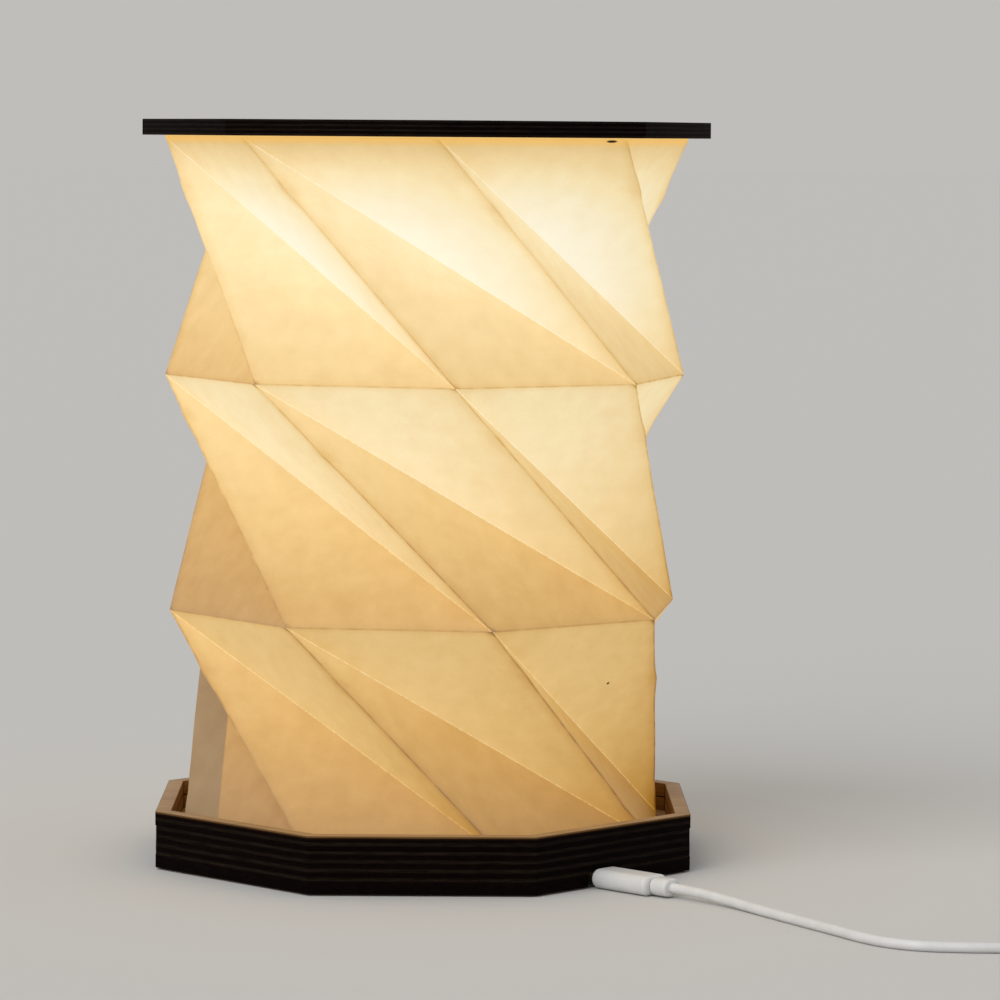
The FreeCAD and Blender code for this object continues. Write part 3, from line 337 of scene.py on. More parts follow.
# %% Burnt edges
def burnt_edge(name, stripe, lowest, bare_and_lit_at, bare_and_lit_from):
    """A laser-burnt edge with a lighter stripe at every such step in height, from the lowest up.

    Near one face of the stack the cut turns brown: partly the wood's own brown where it is least burnt, and
    partly painted warm light from the glowing paper."""
    material, tree, shader = new_material(name, Roughness=0.7, IOR=1.1)
    place = own_place(tree)
    height = add_node(tree, "SeparateXYZ", {"Vector": place}).outputs["Z"]
    waver = maths(tree, "MULTIPLY", noise(tree, place, (26 * mm, 26 * mm, 9 * mm), 2), 0.35 * mm)
    steps = maths(tree, "DIVIDE", maths(tree, "ADD", maths(tree, "SUBTRACT", height, lowest), waver), stripe)
    off_centre = maths(tree, "ABSOLUTE", maths(tree, "SUBTRACT", maths(tree, "FRACT", steps), 0.5))
    light = fade(tree, off_centre, 0.10, 0.30)
    patchy = fade(tree, noise(tree, place, (7 * mm, 7 * mm, 0.5 * mm), 3), 0.30, 0.62, 0.25, 1.0)
    light = maths(tree, "MULTIPLY", maths(tree, "MULTIPLY", light, patchy),
                  fade(tree, steps, 0.0, 0.4, 0.0, 1.0))
    soot = noise(tree, place, (3 * mm, 3 * mm, 1.2 * mm), 4)
    burnt = ramp(tree, soot, [(0.30, (0.0010, 0.0003, 0.0001)), (0.70, (0.0040, 0.0013, 0.0007))])
    colour = blend_colours(tree, light, burnt, (0.0125, 0.0078, 0.0052))
    # brown band near one face: partly bare wood, partly painted warm light from the glowing paper
    bare_and_lit = ramp(tree, fade(tree, maths(tree, "ADD", height, waver), bare_and_lit_from, bare_and_lit_at, 0.0, 1.0),
                [(0.0, (0.0, 0.0, 0.0)), (0.55, (0.012, 0.004, 0.001)), (1.0, (0.16, 0.085, 0.032))])
    colour = add_colours(tree, colour, bare_and_lit)
    tree.links.new(colour, shader.inputs["Base Color"])
    relief = maths(tree, "ADD", light, maths(tree, "MULTIPLY", soot, 0.5))
    raise_surface(tree, shader, relief, 0.12 * mm)
    return material


BURNT = burnt_edge("burnt_edge", stripe=2.9 * mm, lowest=4.2 * mm,
                   bare_and_lit_at=19.8 * mm, bare_and_lit_from=18.5 * mm)
BURNT_LID = burnt_edge("burnt_lid_edge", stripe=1.5 * mm, lowest=246.2 * mm,
                       bare_and_lit_at=246.1 * mm, bare_and_lit_from=247.1 * mm)
# inner edges face the glowing paper, and their brown is painted warm light
PAPER_LIT_EDGE = burnt_edge("inner_edge_lit_by_paper", stripe=1.6 * mm, lowest=0.0,
                      bare_and_lit_at=0.0, bare_and_lit_from=-1.0)  # brown at every height with painted warm light from the paper
print("plywood finishes made")

# %% [markdown]
# ## Moulded plastic and rubber
# The plugs, the cable and the small parts are mouldings: nearly one colour, with a very fine
# texture from the mould and a slightly uneven gloss. They share one node group for that skin.

# %% The skin of a moulding
skin = bpy.data.node_groups.new("moulded_skin", "ShaderNodeTree")
skin.interface.new_socket("Grain", in_out="INPUT", socket_type="NodeSocketFloat").default_value = 4000
for label in ("Shade", "Gloss", "Height"):
    skin.interface.new_socket(label, in_out="OUTPUT", socket_type="NodeSocketFloat")
skin_in, skin_out = skin.nodes.new("NodeGroupInput"), skin.nodes.new("NodeGroupOutput")
place = own_place(skin)
fine = add_node(skin, "TexNoise", {"Vector": place, "Scale": skin_in.outputs["Grain"],
                                   "Detail": 2.0}).outputs[0]
broad = noise(skin, place, (6 * mm, 6 * mm, 6 * mm), 3)
skin.links.new(fade(skin, broad, 0.3, 0.7, 0.0, 1.0), skin_out.inputs["Shade"])
skin.links.new(broad, skin_out.inputs["Gloss"])
skin.links.new(fine, skin_out.inputs["Height"])


def moulding(name, colour, second, gloss=(0.34, 0.46), grain=4000, depth=0.012 * mm, **constants):
    """A moulded material between two near colours, with its range of roughness."""
    material, tree, shader = new_material(name, **constants)
    texture = add_node(tree, "Group", node_tree=skin)
    texture.inputs["Grain"].default_value = grain
    tree.links.new(blend_colours(tree, texture.outputs["Shade"], colour, second), shader.inputs["Base Color"])
    tree.links.new(fade(tree, texture.outputs["Gloss"], 0.3, 0.7, *gloss), shader.inputs["Roughness"])
    raise_surface(tree, shader, texture.outputs["Height"], depth)
    return material


WHITE_PLASTIC = moulding("white_plastic", (0.68, 0.68, 0.67), (0.63, 0.63, 0.62))
WHITE_CABLE = moulding("white_cable", (0.68, 0.675, 0.665), (0.63, 0.625, 0.615), (0.42, 0.55), 2500)
BLACK_PLASTIC = moulding("black_plastic", (0.022, 0.022, 0.023), (0.032, 0.031, 0.031), (0.35, 0.5))
WHITE_RUBBER = moulding("white_rubber", (0.66, 0.65, 0.62), (0.60, 0.59, 0.56), (0.6, 0.75), 2000)
CERAMIC = moulding("ceramic", (0.30, 0.19, 0.10), (0.25, 0.155, 0.08), (0.3, 0.4), 6000)
print("moulded materials made")

# %% [markdown]
# ## Metal, felt, card and boards
# The plugs' shells and the screws are plated steel with fine drawing marks. The felt under the
# tray is a tangle of short fibres, the rings that hold the paper's tabs are grey card, and the two
# circuit boards have tracks under a coloured lacquer.


# %% Plated steel
def plated(name, colour, roughness):
    material, tree, shader = new_material(name, Base_Color=(*colour, 1), Metallic=1.0)
    drawn = noise(tree, own_place(tree), (0.08 * mm, 3 * mm, 0.08 * mm), 3)
    tree.links.new(fade(tree, drawn, 0.3, 0.7, roughness - 0.07, roughness + 0.09), shader.inputs["Roughness"])
    raise_surface(tree, shader, drawn, 0.004 * mm)
    return material


PLATED_STEEL = plated("plated_steel", (0.72, 0.71, 0.69), 0.26)
SCREW_STEEL = plated("screw_steel", (0.55, 0.545, 0.53), 0.34)

# %% Felt and card
FELT_CLOTH, tree, shader = new_material("dark_felt", Roughness=0.95, Sheen_Weight=0.35, Sheen_Roughness=0.5)
place = own_place(tree)
fibres = noise(tree, place, (0.15 * mm, 1.2 * mm, 0.3 * mm), 5)
tufts = noise(tree, place, (2.5 * mm, 1.6 * mm, 1 * mm), 3)
fuzz = maths(tree, "ADD", maths(tree, "MULTIPLY", fibres, 0.6), maths(tree, "MULTIPLY", tufts, 0.4))
tree.links.new(ramp(tree, fuzz, [(0.35, (0.020, 0.018, 0.016)), (0.65, (0.075, 0.066, 0.057))]),
               shader.inputs["Base Color"])
raise_surface(tree, shader, fuzz, 0.25 * mm)

CARD, tree, shader = new_material("grey_card", Roughness=0.85)
pulp = noise(tree, own_place(tree), (0.6 * mm, 0.6 * mm, 0.2 * mm), 5)
tree.links.new(ramp(tree, pulp, [(0.35, (0.44, 0.38, 0.29)), (0.65, (0.56, 0.50, 0.40))]),
               shader.inputs["Base Color"])
raise_surface(tree, shader, pulp, 0.03 * mm)


# %% Circuit boards
def circuit_board(name, lacquer, track):
    material, tree, shader = new_material(name, Roughness=0.32, Coat_Weight=0.3)
    place = own_place(tree)
    tracks = add_node(tree, "TexBrick", {
        "Vector": place, "Scale": 180.0, "Mortar Size": 0.03,
        "Color1": (0, 0, 0, 1), "Color2": (0, 0, 0, 1), "Mortar": (1, 1, 1, 1)})
    speckle = fade(tree, noise(tree, place, (0.8 * mm, 0.8 * mm, 0.8 * mm), 3), 0.4, 0.6, 0.0, 0.25)
    share = maths(tree, "MAXIMUM", tracks.outputs["Color"], speckle)
    tree.links.new(blend_colours(tree, share, lacquer, track), shader.inputs["Base Color"])
    raise_surface(tree, shader, tracks.outputs["Color"], 0.03 * mm)
    return material


GREEN_BOARD = circuit_board("green_board", (0.012, 0.075, 0.030), (0.035, 0.16, 0.06))
WHITE_BOARD = circuit_board("white_board", (0.74, 0.75, 0.74), (0.62, 0.63, 0.62))


# %% Parts that shine
def shining(name, colour, emission, level, edge):
    """A lit part whose glow varies a little over its surface."""
    material, tree, shader = new_material(name, Roughness=0.45, Emission_Strength=level)
    soft = noise(tree, own_place(tree), (4 * mm, 4 * mm, 4 * mm), 2)
    darker = [c * 0.93 for c in colour]
    tree.links.new(ramp(tree, soft, [(0.3, edge), (0.7, emission)]), shader.inputs["Emission Color"])
    tree.links.new(ramp(tree, soft, [(0.3, darker), (0.7, colour)]), shader.inputs["Base Color"])
    return material


LIT_CAP = shining("lit_milky_cap", (0.80, 0.77, 0.70), (1.0, 0.84, 0.55), 1.6, (0.95, 0.78, 0.48))
LIT_CHIP = shining("lit_chip", (0.80, 0.62, 0.20), (1.0, 0.88, 0.62), 3.0, (1.0, 0.80, 0.45))
print("all small finishes made")

# %% [markdown]
# ## The tray's plywood layers
# The tray is four octagons of thin plywood glued in a stack: a frame that holds the socket, a
# floor, and two rims round the foot of the shade. One solid octagon would hide the joints between
# them, so each layer is its own board with finely broken edges, and no two are cut quite alike.

# %% An eight-sided board
TRAY_ACROSS, PLY, FELT, RIM_WIDTH = 180 * mm, 4.75 * mm, 0.7 * mm, 5.3 * mm
LEVEL_SIDES = 22.5  # turns a board so that one side faces the front
TO_CORNER = 1 / math.cos(math.pi / 8)


def paint_board(board):
    """Birch on the flat faces, burnt on the outer edge, and on an inner one browner with painted warm light
    from the paper.
    """
    for face in board.data.polygons:
        outwards = face.normal.x * face.center.x + face.normal.y * face.center.y > 0
        face.material_index = 0 if abs(face.normal.z) > 0.9 else 1 if outwards else 2


def octagon_board(name, across, low, thickness, turn, burnt=BURNT):
    bpy.ops.object.select_all(action="DESELECT")
    bpy.ops.mesh.primitive_cylinder_add(
        vertices=8, radius=across / 2 * TO_CORNER, depth=thickness,
        location=(0, 0, low + thickness / 2), rotation=(0, 0, math.radians(turn)))
    board = bpy.context.object
    board.name = name
    board.data.materials.append(BIRCH)
    board.data.materials.append(burnt)
    board.data.materials.append(PAPER_LIT_EDGE)
    return board


def open_middle(board, width):
    """Turns a board into a ring of that width."""
    select_parts(board, "FACE", lambda face: abs(face.normal.z) > 0.9)
    bpy.ops.mesh.inset(thickness=width)
    bpy.ops.mesh.bridge_edge_loops()
    done()


def break_edges(board, width=0.22 * mm):
    """Paints the faces, then rounds the edges, which take the burnt finish."""
    paint_board(board)
    apply_modifier(board, "BEVEL", width=width, segments=2, limit_method="ANGLE",
                   angle_limit=math.radians(30), material=1)


# %% Two rims
for order, (node, trim) in enumerate((("rim_lower", 0.5 * mm), ("rim_upper", 0.0))):
    rim = octagon_board(node + "_board", TRAY_ACROSS - trim, FELT + PLY * (2 + order), PLY, LEVEL_SIDES)
    open_middle(rim, RIM_WIDTH - trim / 2)
    break_edges(rim)
    settle(rim, "base", [node])

# %% Floor
LEAD_HOLE = 3.0 * mm
floor_board = octagon_board("floor_board", TRAY_ACROSS - 0.4 * mm, FELT + PLY, PLY, LEVEL_SIDES)
bpy.ops.object.select_all(action="DESELECT")
bpy.ops.mesh.primitive_cylinder_add(vertices=24, radius=LEAD_HOLE, depth=20 * mm, location=(0, 0, 10 * mm))
drill = bpy.context.object
apply_modifier(floor_board, "BOOLEAN", operation="DIFFERENCE", object=drill, solver="EXACT")
bpy.data.objects.remove(drill)
break_edges(floor_board)
settle(floor_board, "base", ["floor_plate"])

# %% Frame with the socket's notch
FRAME_WIDTH, NOTCH = 14 * mm, (40 * mm, 13 * mm, 8 * mm)
frame_board = octagon_board("frame_board", TRAY_ACROSS - 0.2 * mm, FELT, PLY, LEVEL_SIDES)
open_middle(frame_board, FRAME_WIDTH)
bpy.ops.object.select_all(action="DESELECT")
bpy.ops.mesh.primitive_cube_add(size=1, location=beside_socket(85 * mm, 0, FELT + PLY / 2),
                                rotation=(0, 0, math.radians(FACE_TURN)), scale=NOTCH)
notch = bpy.context.object
apply_modifier(frame_board, "BOOLEAN", operation="DIFFERENCE", object=notch, solver="EXACT")
bpy.data.objects.remove(notch)
break_edges(frame_board)
settle(frame_board, "base", ["base_frame"])

# %% [markdown]
# ## The lid
# A thicker octagon of the same plywood closes the shade. It is turned with the paper's top
# crease, so one of its corners points nearly to the right.

# %% Lid
LID_ACROSS, LID_LOW, LID_THICK, LID_TURN = 179 * mm, 246.3 * mm, 5.4 * mm, 2.6
lid = octagon_board("lid_board", LID_ACROSS, LID_LOW, LID_THICK, LID_TURN, BURNT_LID)
break_edges(lid)
settle(lid, "top", ["top_plate"])

# %% [markdown]
# ## The paper shade
# One sheet of strong paper is creased into three tiers of eight twisted pleats and glued into a
# tube. Each pleat is two triangles: the ridge between neighbours stands out and the valley
# between its two halves folds in. The shape is an octagon that turns as it rises, so it is
# extruded tier by tier with a turn, and each four-sided face is then divided along its valley.

# %% Rings of corners
RING_RADIUS, FOOT_RADIUS = 89.08 * mm, 85.78 * mm
FOOT, LOWER, UPPER, TOP = 10.9 * mm, 86.3 * mm, 165.3 * mm, 245.6 * mm
FOOT_TURN, LOWER_TURN, UPPER_TURN = 18.7, 14.6, 6.3
MARGIN, TAB = 0.7 * mm, 0.9
PITCH = 45  # in each tier a ridge leans one corner back, on top of the difference in turn


def extrude_ring(height=0.0, turn=0.0, grow=1.0):
    """Extrudes the selected ring of edges upwards, then turns and sizes the new ring."""
    bpy.ops.mesh.extrude_region_move(TRANSFORM_OT_translate={"value": (0, 0, height)})
    if turn:  # with no window the operator turns the other way
        bpy.ops.transform.rotate(value=math.radians(-turn), orient_axis="Z", center_override=(0, 0, 0))
    if grow != 1:
        bpy.ops.transform.resize(value=(grow, grow, 1), center_override=(0, 0, 0))


bpy.ops.object.select_all(action="DESELECT")
bpy.ops.mesh.primitive_circle_add(vertices=8, radius=FOOT_RADIUS * TAB, location=(0, 0, FOOT - MARGIN),
                                  rotation=(0, 0, math.radians(FOOT_TURN)))
shade = bpy.context.object
shade.name = "folded_paper"
only(shade)
bpy.ops.object.transform_apply(location=True, rotation=True, scale=True)
bpy.ops.object.mode_set(mode="EDIT")
bpy.ops.mesh.select_mode(type="EDGE")
bpy.ops.mesh.select_all(action="SELECT")
extrude_ring(grow=1 / TAB)  # the lower glue tab, folded in
extrude_ring(MARGIN)
extrude_ring(LOWER - FOOT, -(PITCH + FOOT_TURN - LOWER_TURN), RING_RADIUS / FOOT_RADIUS)
extrude_ring(UPPER - LOWER, -(PITCH + LOWER_TURN - UPPER_TURN))
extrude_ring(TOP - UPPER, -(PITCH + UPPER_TURN - LID_TURN))
extrude_ring(MARGIN)
extrude_ring(grow=TAB)  # the upper one
done()
print("rings at heights", sorted({round(v.co.z / mm, 1) for v in shade.data.vertices}))


# %% Valleys
def is_pleat(face):
    return face.area > 1000 * mm * mm


select_parts(shade, "FACE", is_pleat)
bpy.ops.mesh.quads_convert_to_tris(quad_method="LONGEST_DIAGONAL")
done()
print("triangles:", sum(1 for face in shade.data.polygons if len(face.vertices) == 3))

# %% [markdown]
# ### Where the creases are
# The finish draws a fine line along each crease: dark along a ridge, a painted shade, and bright
# along a valley, a painted light. Each corner of each triangle keeps its distance from the
# triangle's ridge, valley and level crease. Between the corners those distances change evenly, so
# they stay exact when the triangles are subdivided. The sheet's two ends overlap in a glued strip
# behind the ridge at the left, one triangle in each tier. The strip shows in the lowest tier, and
# in every tier that triangle is also a little darker with painted shade.

# %% Distances from the creases
shade.data.attributes.new("crease", "FLOAT_VECTOR", "CORNER")
shade.data.attributes.new("seam", "FLOAT", "CORNER")
crease, seam = shade.data.attributes["crease"], shade.data.attributes["seam"]
FAR_OFF = (50 * mm, 50 * mm, 50 * mm)
SEAM_CORNER = 3


def ring_corner(height, turn, number, radius=RING_RADIUS):
    angle = math.radians(turn + 45 * number)
    return Vector((radius * math.cos(angle), radius * math.sin(angle), height))


seam_tops = [ring_corner(height, turn, SEAM_CORNER)
             for height, turn in ((TOP, LID_TURN), (UPPER, UPPER_TURN), (LOWER, LOWER_TURN))]
for face in shade.data.polygons:
    corners = [shade.data.vertices[i].co.copy() for i in face.vertices]
    if len(corners) != 3:
        for loop in face.loop_indices:
            crease.data[loop].vector = FAR_OFF
        continue
    sides = sorted(((corners[i - 1] - corners[i]).length, i) for i in range(3))  # level, ridge, valley
    highest = sorted(corners, key=lambda corner: -corner.z)
    points_up = highest[0].z - highest[1].z > 1 * mm
    on_seam = points_up and min((highest[0] - top).length for top in seam_tops) < 1 * mm
    for place_in_face, loop in enumerate(face.loop_indices):
        distances = []
        for length, i in (sides[1], sides[2], sides[0]):
            height = (corners[i] - corners[i - 1]).cross(corners[place_in_face] - corners[i]).length / length
            distances.append(height)
        crease.data[loop].vector = distances
        seam.data[loop].value = on_seam
print("level crease, ridge and valley measure", [round(side[0] / mm, 1) for side in sides])
print(sum(1 for corner in seam.data if corner.value) // 3, "triangles carry the seam")

# %% [markdown]
# ### A sheet that has been folded by hand
# Flat triangles look like sheet metal. The triangles are cut fine, then the paper gets shallow
# ripples and each ridge a small kink near its upper end, where two pleats pull at it. The kinks
# differ a little from ridge to ridge, and the lowest ridges also buckle inwards above the tray.

# %% Fine mesh and ripples
CUTS = 23  # along each side of a triangle
RIPPLE_SIZE, RIPPLE_DEPTH = 0.028, 0.5 * mm
HELD = 12 * mm  # nearer than this to its ends the sheet ripples less
select_parts(shade, "FACE", is_pleat)
bpy.ops.mesh.subdivide(number_cuts=CUTS)
done()

loose = shade.vertex_groups.new(name="loose")
for vertex in shade.data.vertices:
    from_end = min(vertex.co.z - FOOT, TOP - vertex.co.z)
    if from_end > 0:
        loose.add([vertex.index], min(1.0, from_end / HELD), "REPLACE")
ripples = bpy.data.textures.new("ripples", "CLOUDS")
ripples.noise_scale = RIPPLE_SIZE
apply_modifier(shade, "DISPLACE", texture=ripples, strength=RIPPLE_DEPTH, mid_level=0.5,
               vertex_group="loose")
print("shade has", len(shade.data.vertices), "points")

# %% Kinks and buckles in the ridges
LEVELS = ((TOP, LID_TURN, RING_RADIUS), (UPPER, UPPER_TURN, RING_RADIUS),
          (LOWER, LOWER_TURN, RING_RADIUS), (FOOT, FOOT_TURN, FOOT_RADIUS))
KINK_AT, KINK_REACH, KINK_OUT = 0.24, 11 * mm, 0.95  # the place is a share of the ridge's length
BUCKLE_AT, BUCKLE_REACH, BUCKLE_OUT = 0.83, 9 * mm, -0.5  # how far out is in millimetres


def uneven(middle, spread, phase):
    """A value that differs a little from ridge to ridge."""
    return middle + spread * math.sin(phase)


def pull_out(centre, reach, shift):
    """Moves the paper round a spot outwards, most of all at the spot itself."""
    for vertex in shade.data.vertices:
        share = 1 - (vertex.co - centre).length / reach
        if share > 0:
            outward = Vector((vertex.co.x, vertex.co.y, 0)).normalized()
            vertex.co += outward * shift * share * share


kinks = []
for tier, (high, low) in enumerate(zip(LEVELS, LEVELS[1:])):
    for number in range(8):
        share = uneven(KINK_AT, 0.06, 2.4 * number + 1.7 * tier)
        start, end = ring_corner(*high[:2], number, high[2]), ring_corner(*low[:2], number + 1, low[2])
        kinks.append(start.lerp(end, share))
        pull_out(kinks[-1], KINK_REACH, uneven(KINK_OUT, 0.25, 4.1 * number + tier) * mm)
        if tier == 2:  # the tray holds the lowest ridges
            pull_out(start.lerp(end, BUCKLE_AT), BUCKLE_REACH,
                     uneven(BUCKLE_OUT, 0.3, 2.9 * number) * mm)
print("ridges have", len(kinks), "kinks")

# %% Paper with a thickness
PAPER_THICK = 0.4 * mm
apply_modifier(shade, "SOLIDIFY", thickness=PAPER_THICK, offset=-1)
print("shade has", len(shade.data.polygons), "faces")

# %% [markdown]
# ### How much light gets through
# The light unit hangs under the lid and shines down and outwards. What reaches a spot of the
# paper directly falls off with the distance and with the slant at which it arrives, so the halves
# of the pleats that look up to the light are bright and the others get mostly light from the other
# walls. The lid shades the paper just below it, and the seam's triangles and the paper round the
# kinks get painted shade.
# This is worked out once for each corner of the mesh and kept as a number.

# %% Where each corner of the mesh is and looks
PER = 100 * mm  # the lengths below count in tenths of a metre
mesh = shade.data
face_sizes = [face.loop_total for face in mesh.polygons]


def corner_values(source, name, width=1, kind=np.float32):
    values = np.zeros(len(mesh.loops) * width, kind)
    source.foreach_get(name, values)
    return values.reshape(-1, width) if width > 1 else values


points = np.zeros(len(mesh.vertices) * 3, np.float32)
mesh.vertices.foreach_get("co", points)
spots = points.reshape(-1, 3)[corner_values(mesh.loops, "vertex_index", kind=np.int32)] / PER
normals = np.repeat([face.normal[:] for face in mesh.polygons], face_sizes, axis=0)
middles = np.repeat([face.center.z for face in mesh.polygons], face_sizes)
outside = (normals[:, :2] * spots[:, :2]).sum(1) > 0
inwards = np.where(outside[:, None], -normals, normals)
faces_up = inwards[:, 2] < 0
rings = np.array([FOOT, LOWER, UPPER, TOP]) / PER
tier_of = np.clip(np.searchsorted(rings, middles / PER) - 1, 0, 2)
height_in_tier = (spots[:, 2] - rings[tier_of]) / (rings[tier_of + 1] - rings[tier_of])
print("corners looking up outside:", int(faces_up.sum()), "of", len(faces_up))

# %% Light at each corner
LIGHT_HEIGHT = 250 * mm
DIRECT, SIDEWAYS = 0.346, -0.021
BOUNCED, BOUNCED_RISE = 0.287, 0.147
UPPER_HALF, UPPER_HALF_RISE = -0.050, 0.130
FOLDED_IN, FURTHEST_OUT = 0.354, 0.8
LID_SHADE, LID_SHADE_FADES = 0.196, 8 * mm
STRIP_LIGHT = 0.74  # the strip under the lid is right beside the light unit
SEAM_SHADE = np.array([0.20, 0.24, 0.18])  # painted shade on the seam's triangle, from the lowest tier to the highest
KINK_SHADE, KINK_WIDTH = 0.12, 4 * mm
to_light = np.array([0, 0, LIGHT_HEIGHT / PER]) - spots
distance = np.linalg.norm(to_light, axis=1)
slant = np.clip((inwards * to_light).sum(1) / distance, 0, 1)
downward = np.clip(to_light[:, 2] / distance, 0, 1)
glow = (DIRECT * downward + SIDEWAYS) * slant / distance ** 2 + BOUNCED + BOUNCED_RISE * spots[:, 2]
out = np.hypot(spots[:, 0], spots[:, 1])
glow += np.where(faces_up, UPPER_HALF + UPPER_HALF_RISE * height_in_tier, FOLDED_IN * (FURTHEST_OUT - out))
from_top = (TOP / PER - spots[:, 2]) * PER
glow *= 1 - LID_SHADE * np.exp(-np.clip(from_top, 0, None) / LID_SHADE_FADES)
glow[from_top < -0.05 * mm] = STRIP_LIGHT
on_seam = corner_values(mesh.attributes["seam"].data, "value")
glow *= 1 - on_seam * SEAM_SHADE[tier_of]
# painted shade round each kink
for centre in kinks:
    apart = np.linalg.norm(spots * PER - np.array(centre), axis=1) / KINK_WIDTH
    glow *= 1 - KINK_SHADE * np.exp(-apart ** 2)
mesh.attributes["seam"].data.foreach_set("value", (on_seam * (tier_of == 0)).astype(np.float32))
mesh.attributes.new("glow", "FLOAT", "CORNER").data.foreach_set("value", glow.astype(np.float32))
print("light at the corners from", round(float(glow.min()), 2), "to", round(float(glow.max()), 2))

# %% [markdown]
# ### The paper's finish
# Glowing paper is brightest and palest where most light comes through, and turns from cream to
# amber where less does, so a colour ramp turns the light at a spot into its colour. Fibres and the
# creases' fine lines are laid over that number before the ramp sees it. The dark lines are painted
# shade of uneven strength, the bright ones are painted light broken up, and under the lid its wood
# throws back amber light.

# %% What the mesh tells the finish
PAPER, tree, shader = new_material("lit_paper", Roughness=0.85, Emission_Strength=1.0)
place = own_place(tree)
creases = add_node(tree, "Attribute", attribute_name="crease").outputs["Vector"]
lines = add_node(tree, "SeparateXYZ", {"Vector": creases})
from_ridge, from_valley, from_level = (lines.outputs[axis] for axis in "XYZ")
light = add_node(tree, "Attribute", attribute_name="glow").outputs["Fac"]
seam_share = add_node(tree, "Attribute", attribute_name="seam").outputs["Fac"]

# %% Fibres
fibres = noise(tree, place, (0.5 * mm, 3 * mm, 0.5 * mm), 3)
cross_fibres = noise(tree, place, (2.2 * mm, 0.45 * mm, 1.6 * mm), 3)
mottle = noise(tree, place, (7 * mm, 7 * mm, 7 * mm), 3)
pulp = maths(tree, "ADD", maths(tree, "ADD", maths(tree, "MULTIPLY", fibres, 0.06),
                                maths(tree, "MULTIPLY", cross_fibres, 0.06)),
             maths(tree, "MULTIPLY", mottle, 0.10))
light = maths(tree, "MULTIPLY", light, maths(tree, "ADD", pulp, 0.89))
print("with its fibres the paper's finish has", len(tree.nodes), "nodes")

# %% Dark lines of painted shade along the ridges and the level creases
SEAM_STRIP = (15.0 * mm, 16.2 * mm)  # its width, and where its soft edge ends
doubled = maths(tree, "MULTIPLY", seam_share, fade(tree, from_ridge, *SEAM_STRIP, 0.70, 0.0))
height = add_node(tree, "SeparateXYZ", {"Vector": place}).outputs["Z"]
# the painted shade in the creases is stronger in some places than in others, at random
shade_strength = fade(tree, noise(tree, place, (5 * mm, 5 * mm, 5 * mm), 3), 0.3, 0.7, 0.55, 1.45)
ridge_depth = maths(tree, "MULTIPLY", shade_strength, fade(tree, height, FOOT, TOP, 0.30, 0.11))
ridge_line = maths(tree, "MULTIPLY", ridge_depth, fade(tree, from_ridge, 0.0, 1.0 * mm))
ridge_shade = fade(tree, from_ridge, 0.0, 4.5 * mm, 0.09, 0.0)
level_line = maths(tree, "MULTIPLY", shade_strength, fade(tree, from_level, 0.0, 0.7 * mm, 0.16, 0.0))
level_shade = fade(tree, from_level, 0.0, 3.0 * mm, 0.06, 0.0)
to_corner = maths(tree, "SQRT", maths(tree, "ADD", maths(tree, "MULTIPLY", from_ridge, from_ridge),
                                      maths(tree, "MULTIPLY", from_level, from_level)))
# painted shade where a ridge meets a level crease
corner_shade = maths(tree, "MULTIPLY", shade_strength, fade(tree, to_corner, 0.3 * mm, 2.6 * mm, 0.30, 0.0))
dark_lines = doubled
for line in (ridge_line, ridge_shade, level_line, level_shade, corner_shade):
    dark_lines = maths(tree, "ADD", dark_lines, line)
light = maths(tree, "MULTIPLY", light, maths(tree, "SUBTRACT", 1.0, dark_lines))

# %% Bright lines along the valleys
beads = fade(tree, noise(tree, place, (1.2 * mm, 1.2 * mm, 1.2 * mm), 2), 0.35, 0.65, 0.3, 1.0)
# painted light along each valley, broken up into beads
bright_line = maths(tree, "MULTIPLY", fade(tree, from_valley, 0.0, 0.45 * mm, 0.14, 0.0), beads)
light = maths(tree, "ADD", light, bright_line)
print("with all its lines it has", len(tree.nodes), "nodes")


# %% Two small marks
def mark_at(place_of_mark, stretch, near, far):
    """A small dark mark on the paper, a long one where the distances are squeezed along an axis."""
    apart = add_node(tree, "VectorMath", {0: place, 1: place_of_mark}, operation="SUBTRACT")
    apart = add_node(tree, "VectorMath", {0: apart.outputs[0], 1: stretch}, operation="MULTIPLY")
    apart = add_node(tree, "VectorMath", {0: apart.outputs[0]}, operation="LENGTH")
    return fade(tree, apart.outputs["Value"], near, far)


speck = mark_at((61.8 * mm, -35.8 * mm, 63.8 * mm), (1.0, 1.0, 1.0), 0.3 * mm, 0.75 * mm)
scorch = mark_at((60.6 * mm, -62.3 * mm, 245.2 * mm), (0.45, 0.45, 2.0), 0.6 * mm, 1.1 * mm)
marks = maths(tree, "MAXIMUM", speck, scorch)

# %% Colours of the paper
PAPER_TONES = [(0.10, (0.01, 0.00, 0.00)), (0.22, (0.14, 0.05, 0.00)), (0.30, (0.26, 0.12, 0.01)),
               (0.38, (0.38, 0.21, 0.04)), (0.46, (0.50, 0.33, 0.11)), (0.54, (0.58, 0.43, 0.19)),
               (0.62, (0.65, 0.51, 0.26)), (0.70, (0.70, 0.61, 0.37)), (0.78, (0.71, 0.67, 0.48)),
               (0.86, (0.72, 0.71, 0.56)), (0.94, (0.72, 0.74, 0.63))]
lit_paper = ramp(tree, light, PAPER_TONES)
wood_glow = fade(tree, height, TOP - 3.0 * mm, TOP, 0.0, 0.85)  # the lid's wood throws back amber light
lit_paper = blend_colours(tree, wood_glow, lit_paper, (0.72, 0.42, 0.09))
lit_paper = blend_colours(tree, marks, lit_paper, (0.015, 0.006, 0.0))
tree.links.new(lit_paper, shader.inputs["Emission Color"])
cream = ramp(tree, mottle, [(0.3, (0.335, 0.228, 0.118)), (0.7, (0.372, 0.258, 0.138))])
tree.links.new(blend_colours(tree, marks, cream, (0.03, 0.015, 0.008)), shader.inputs["Base Color"])
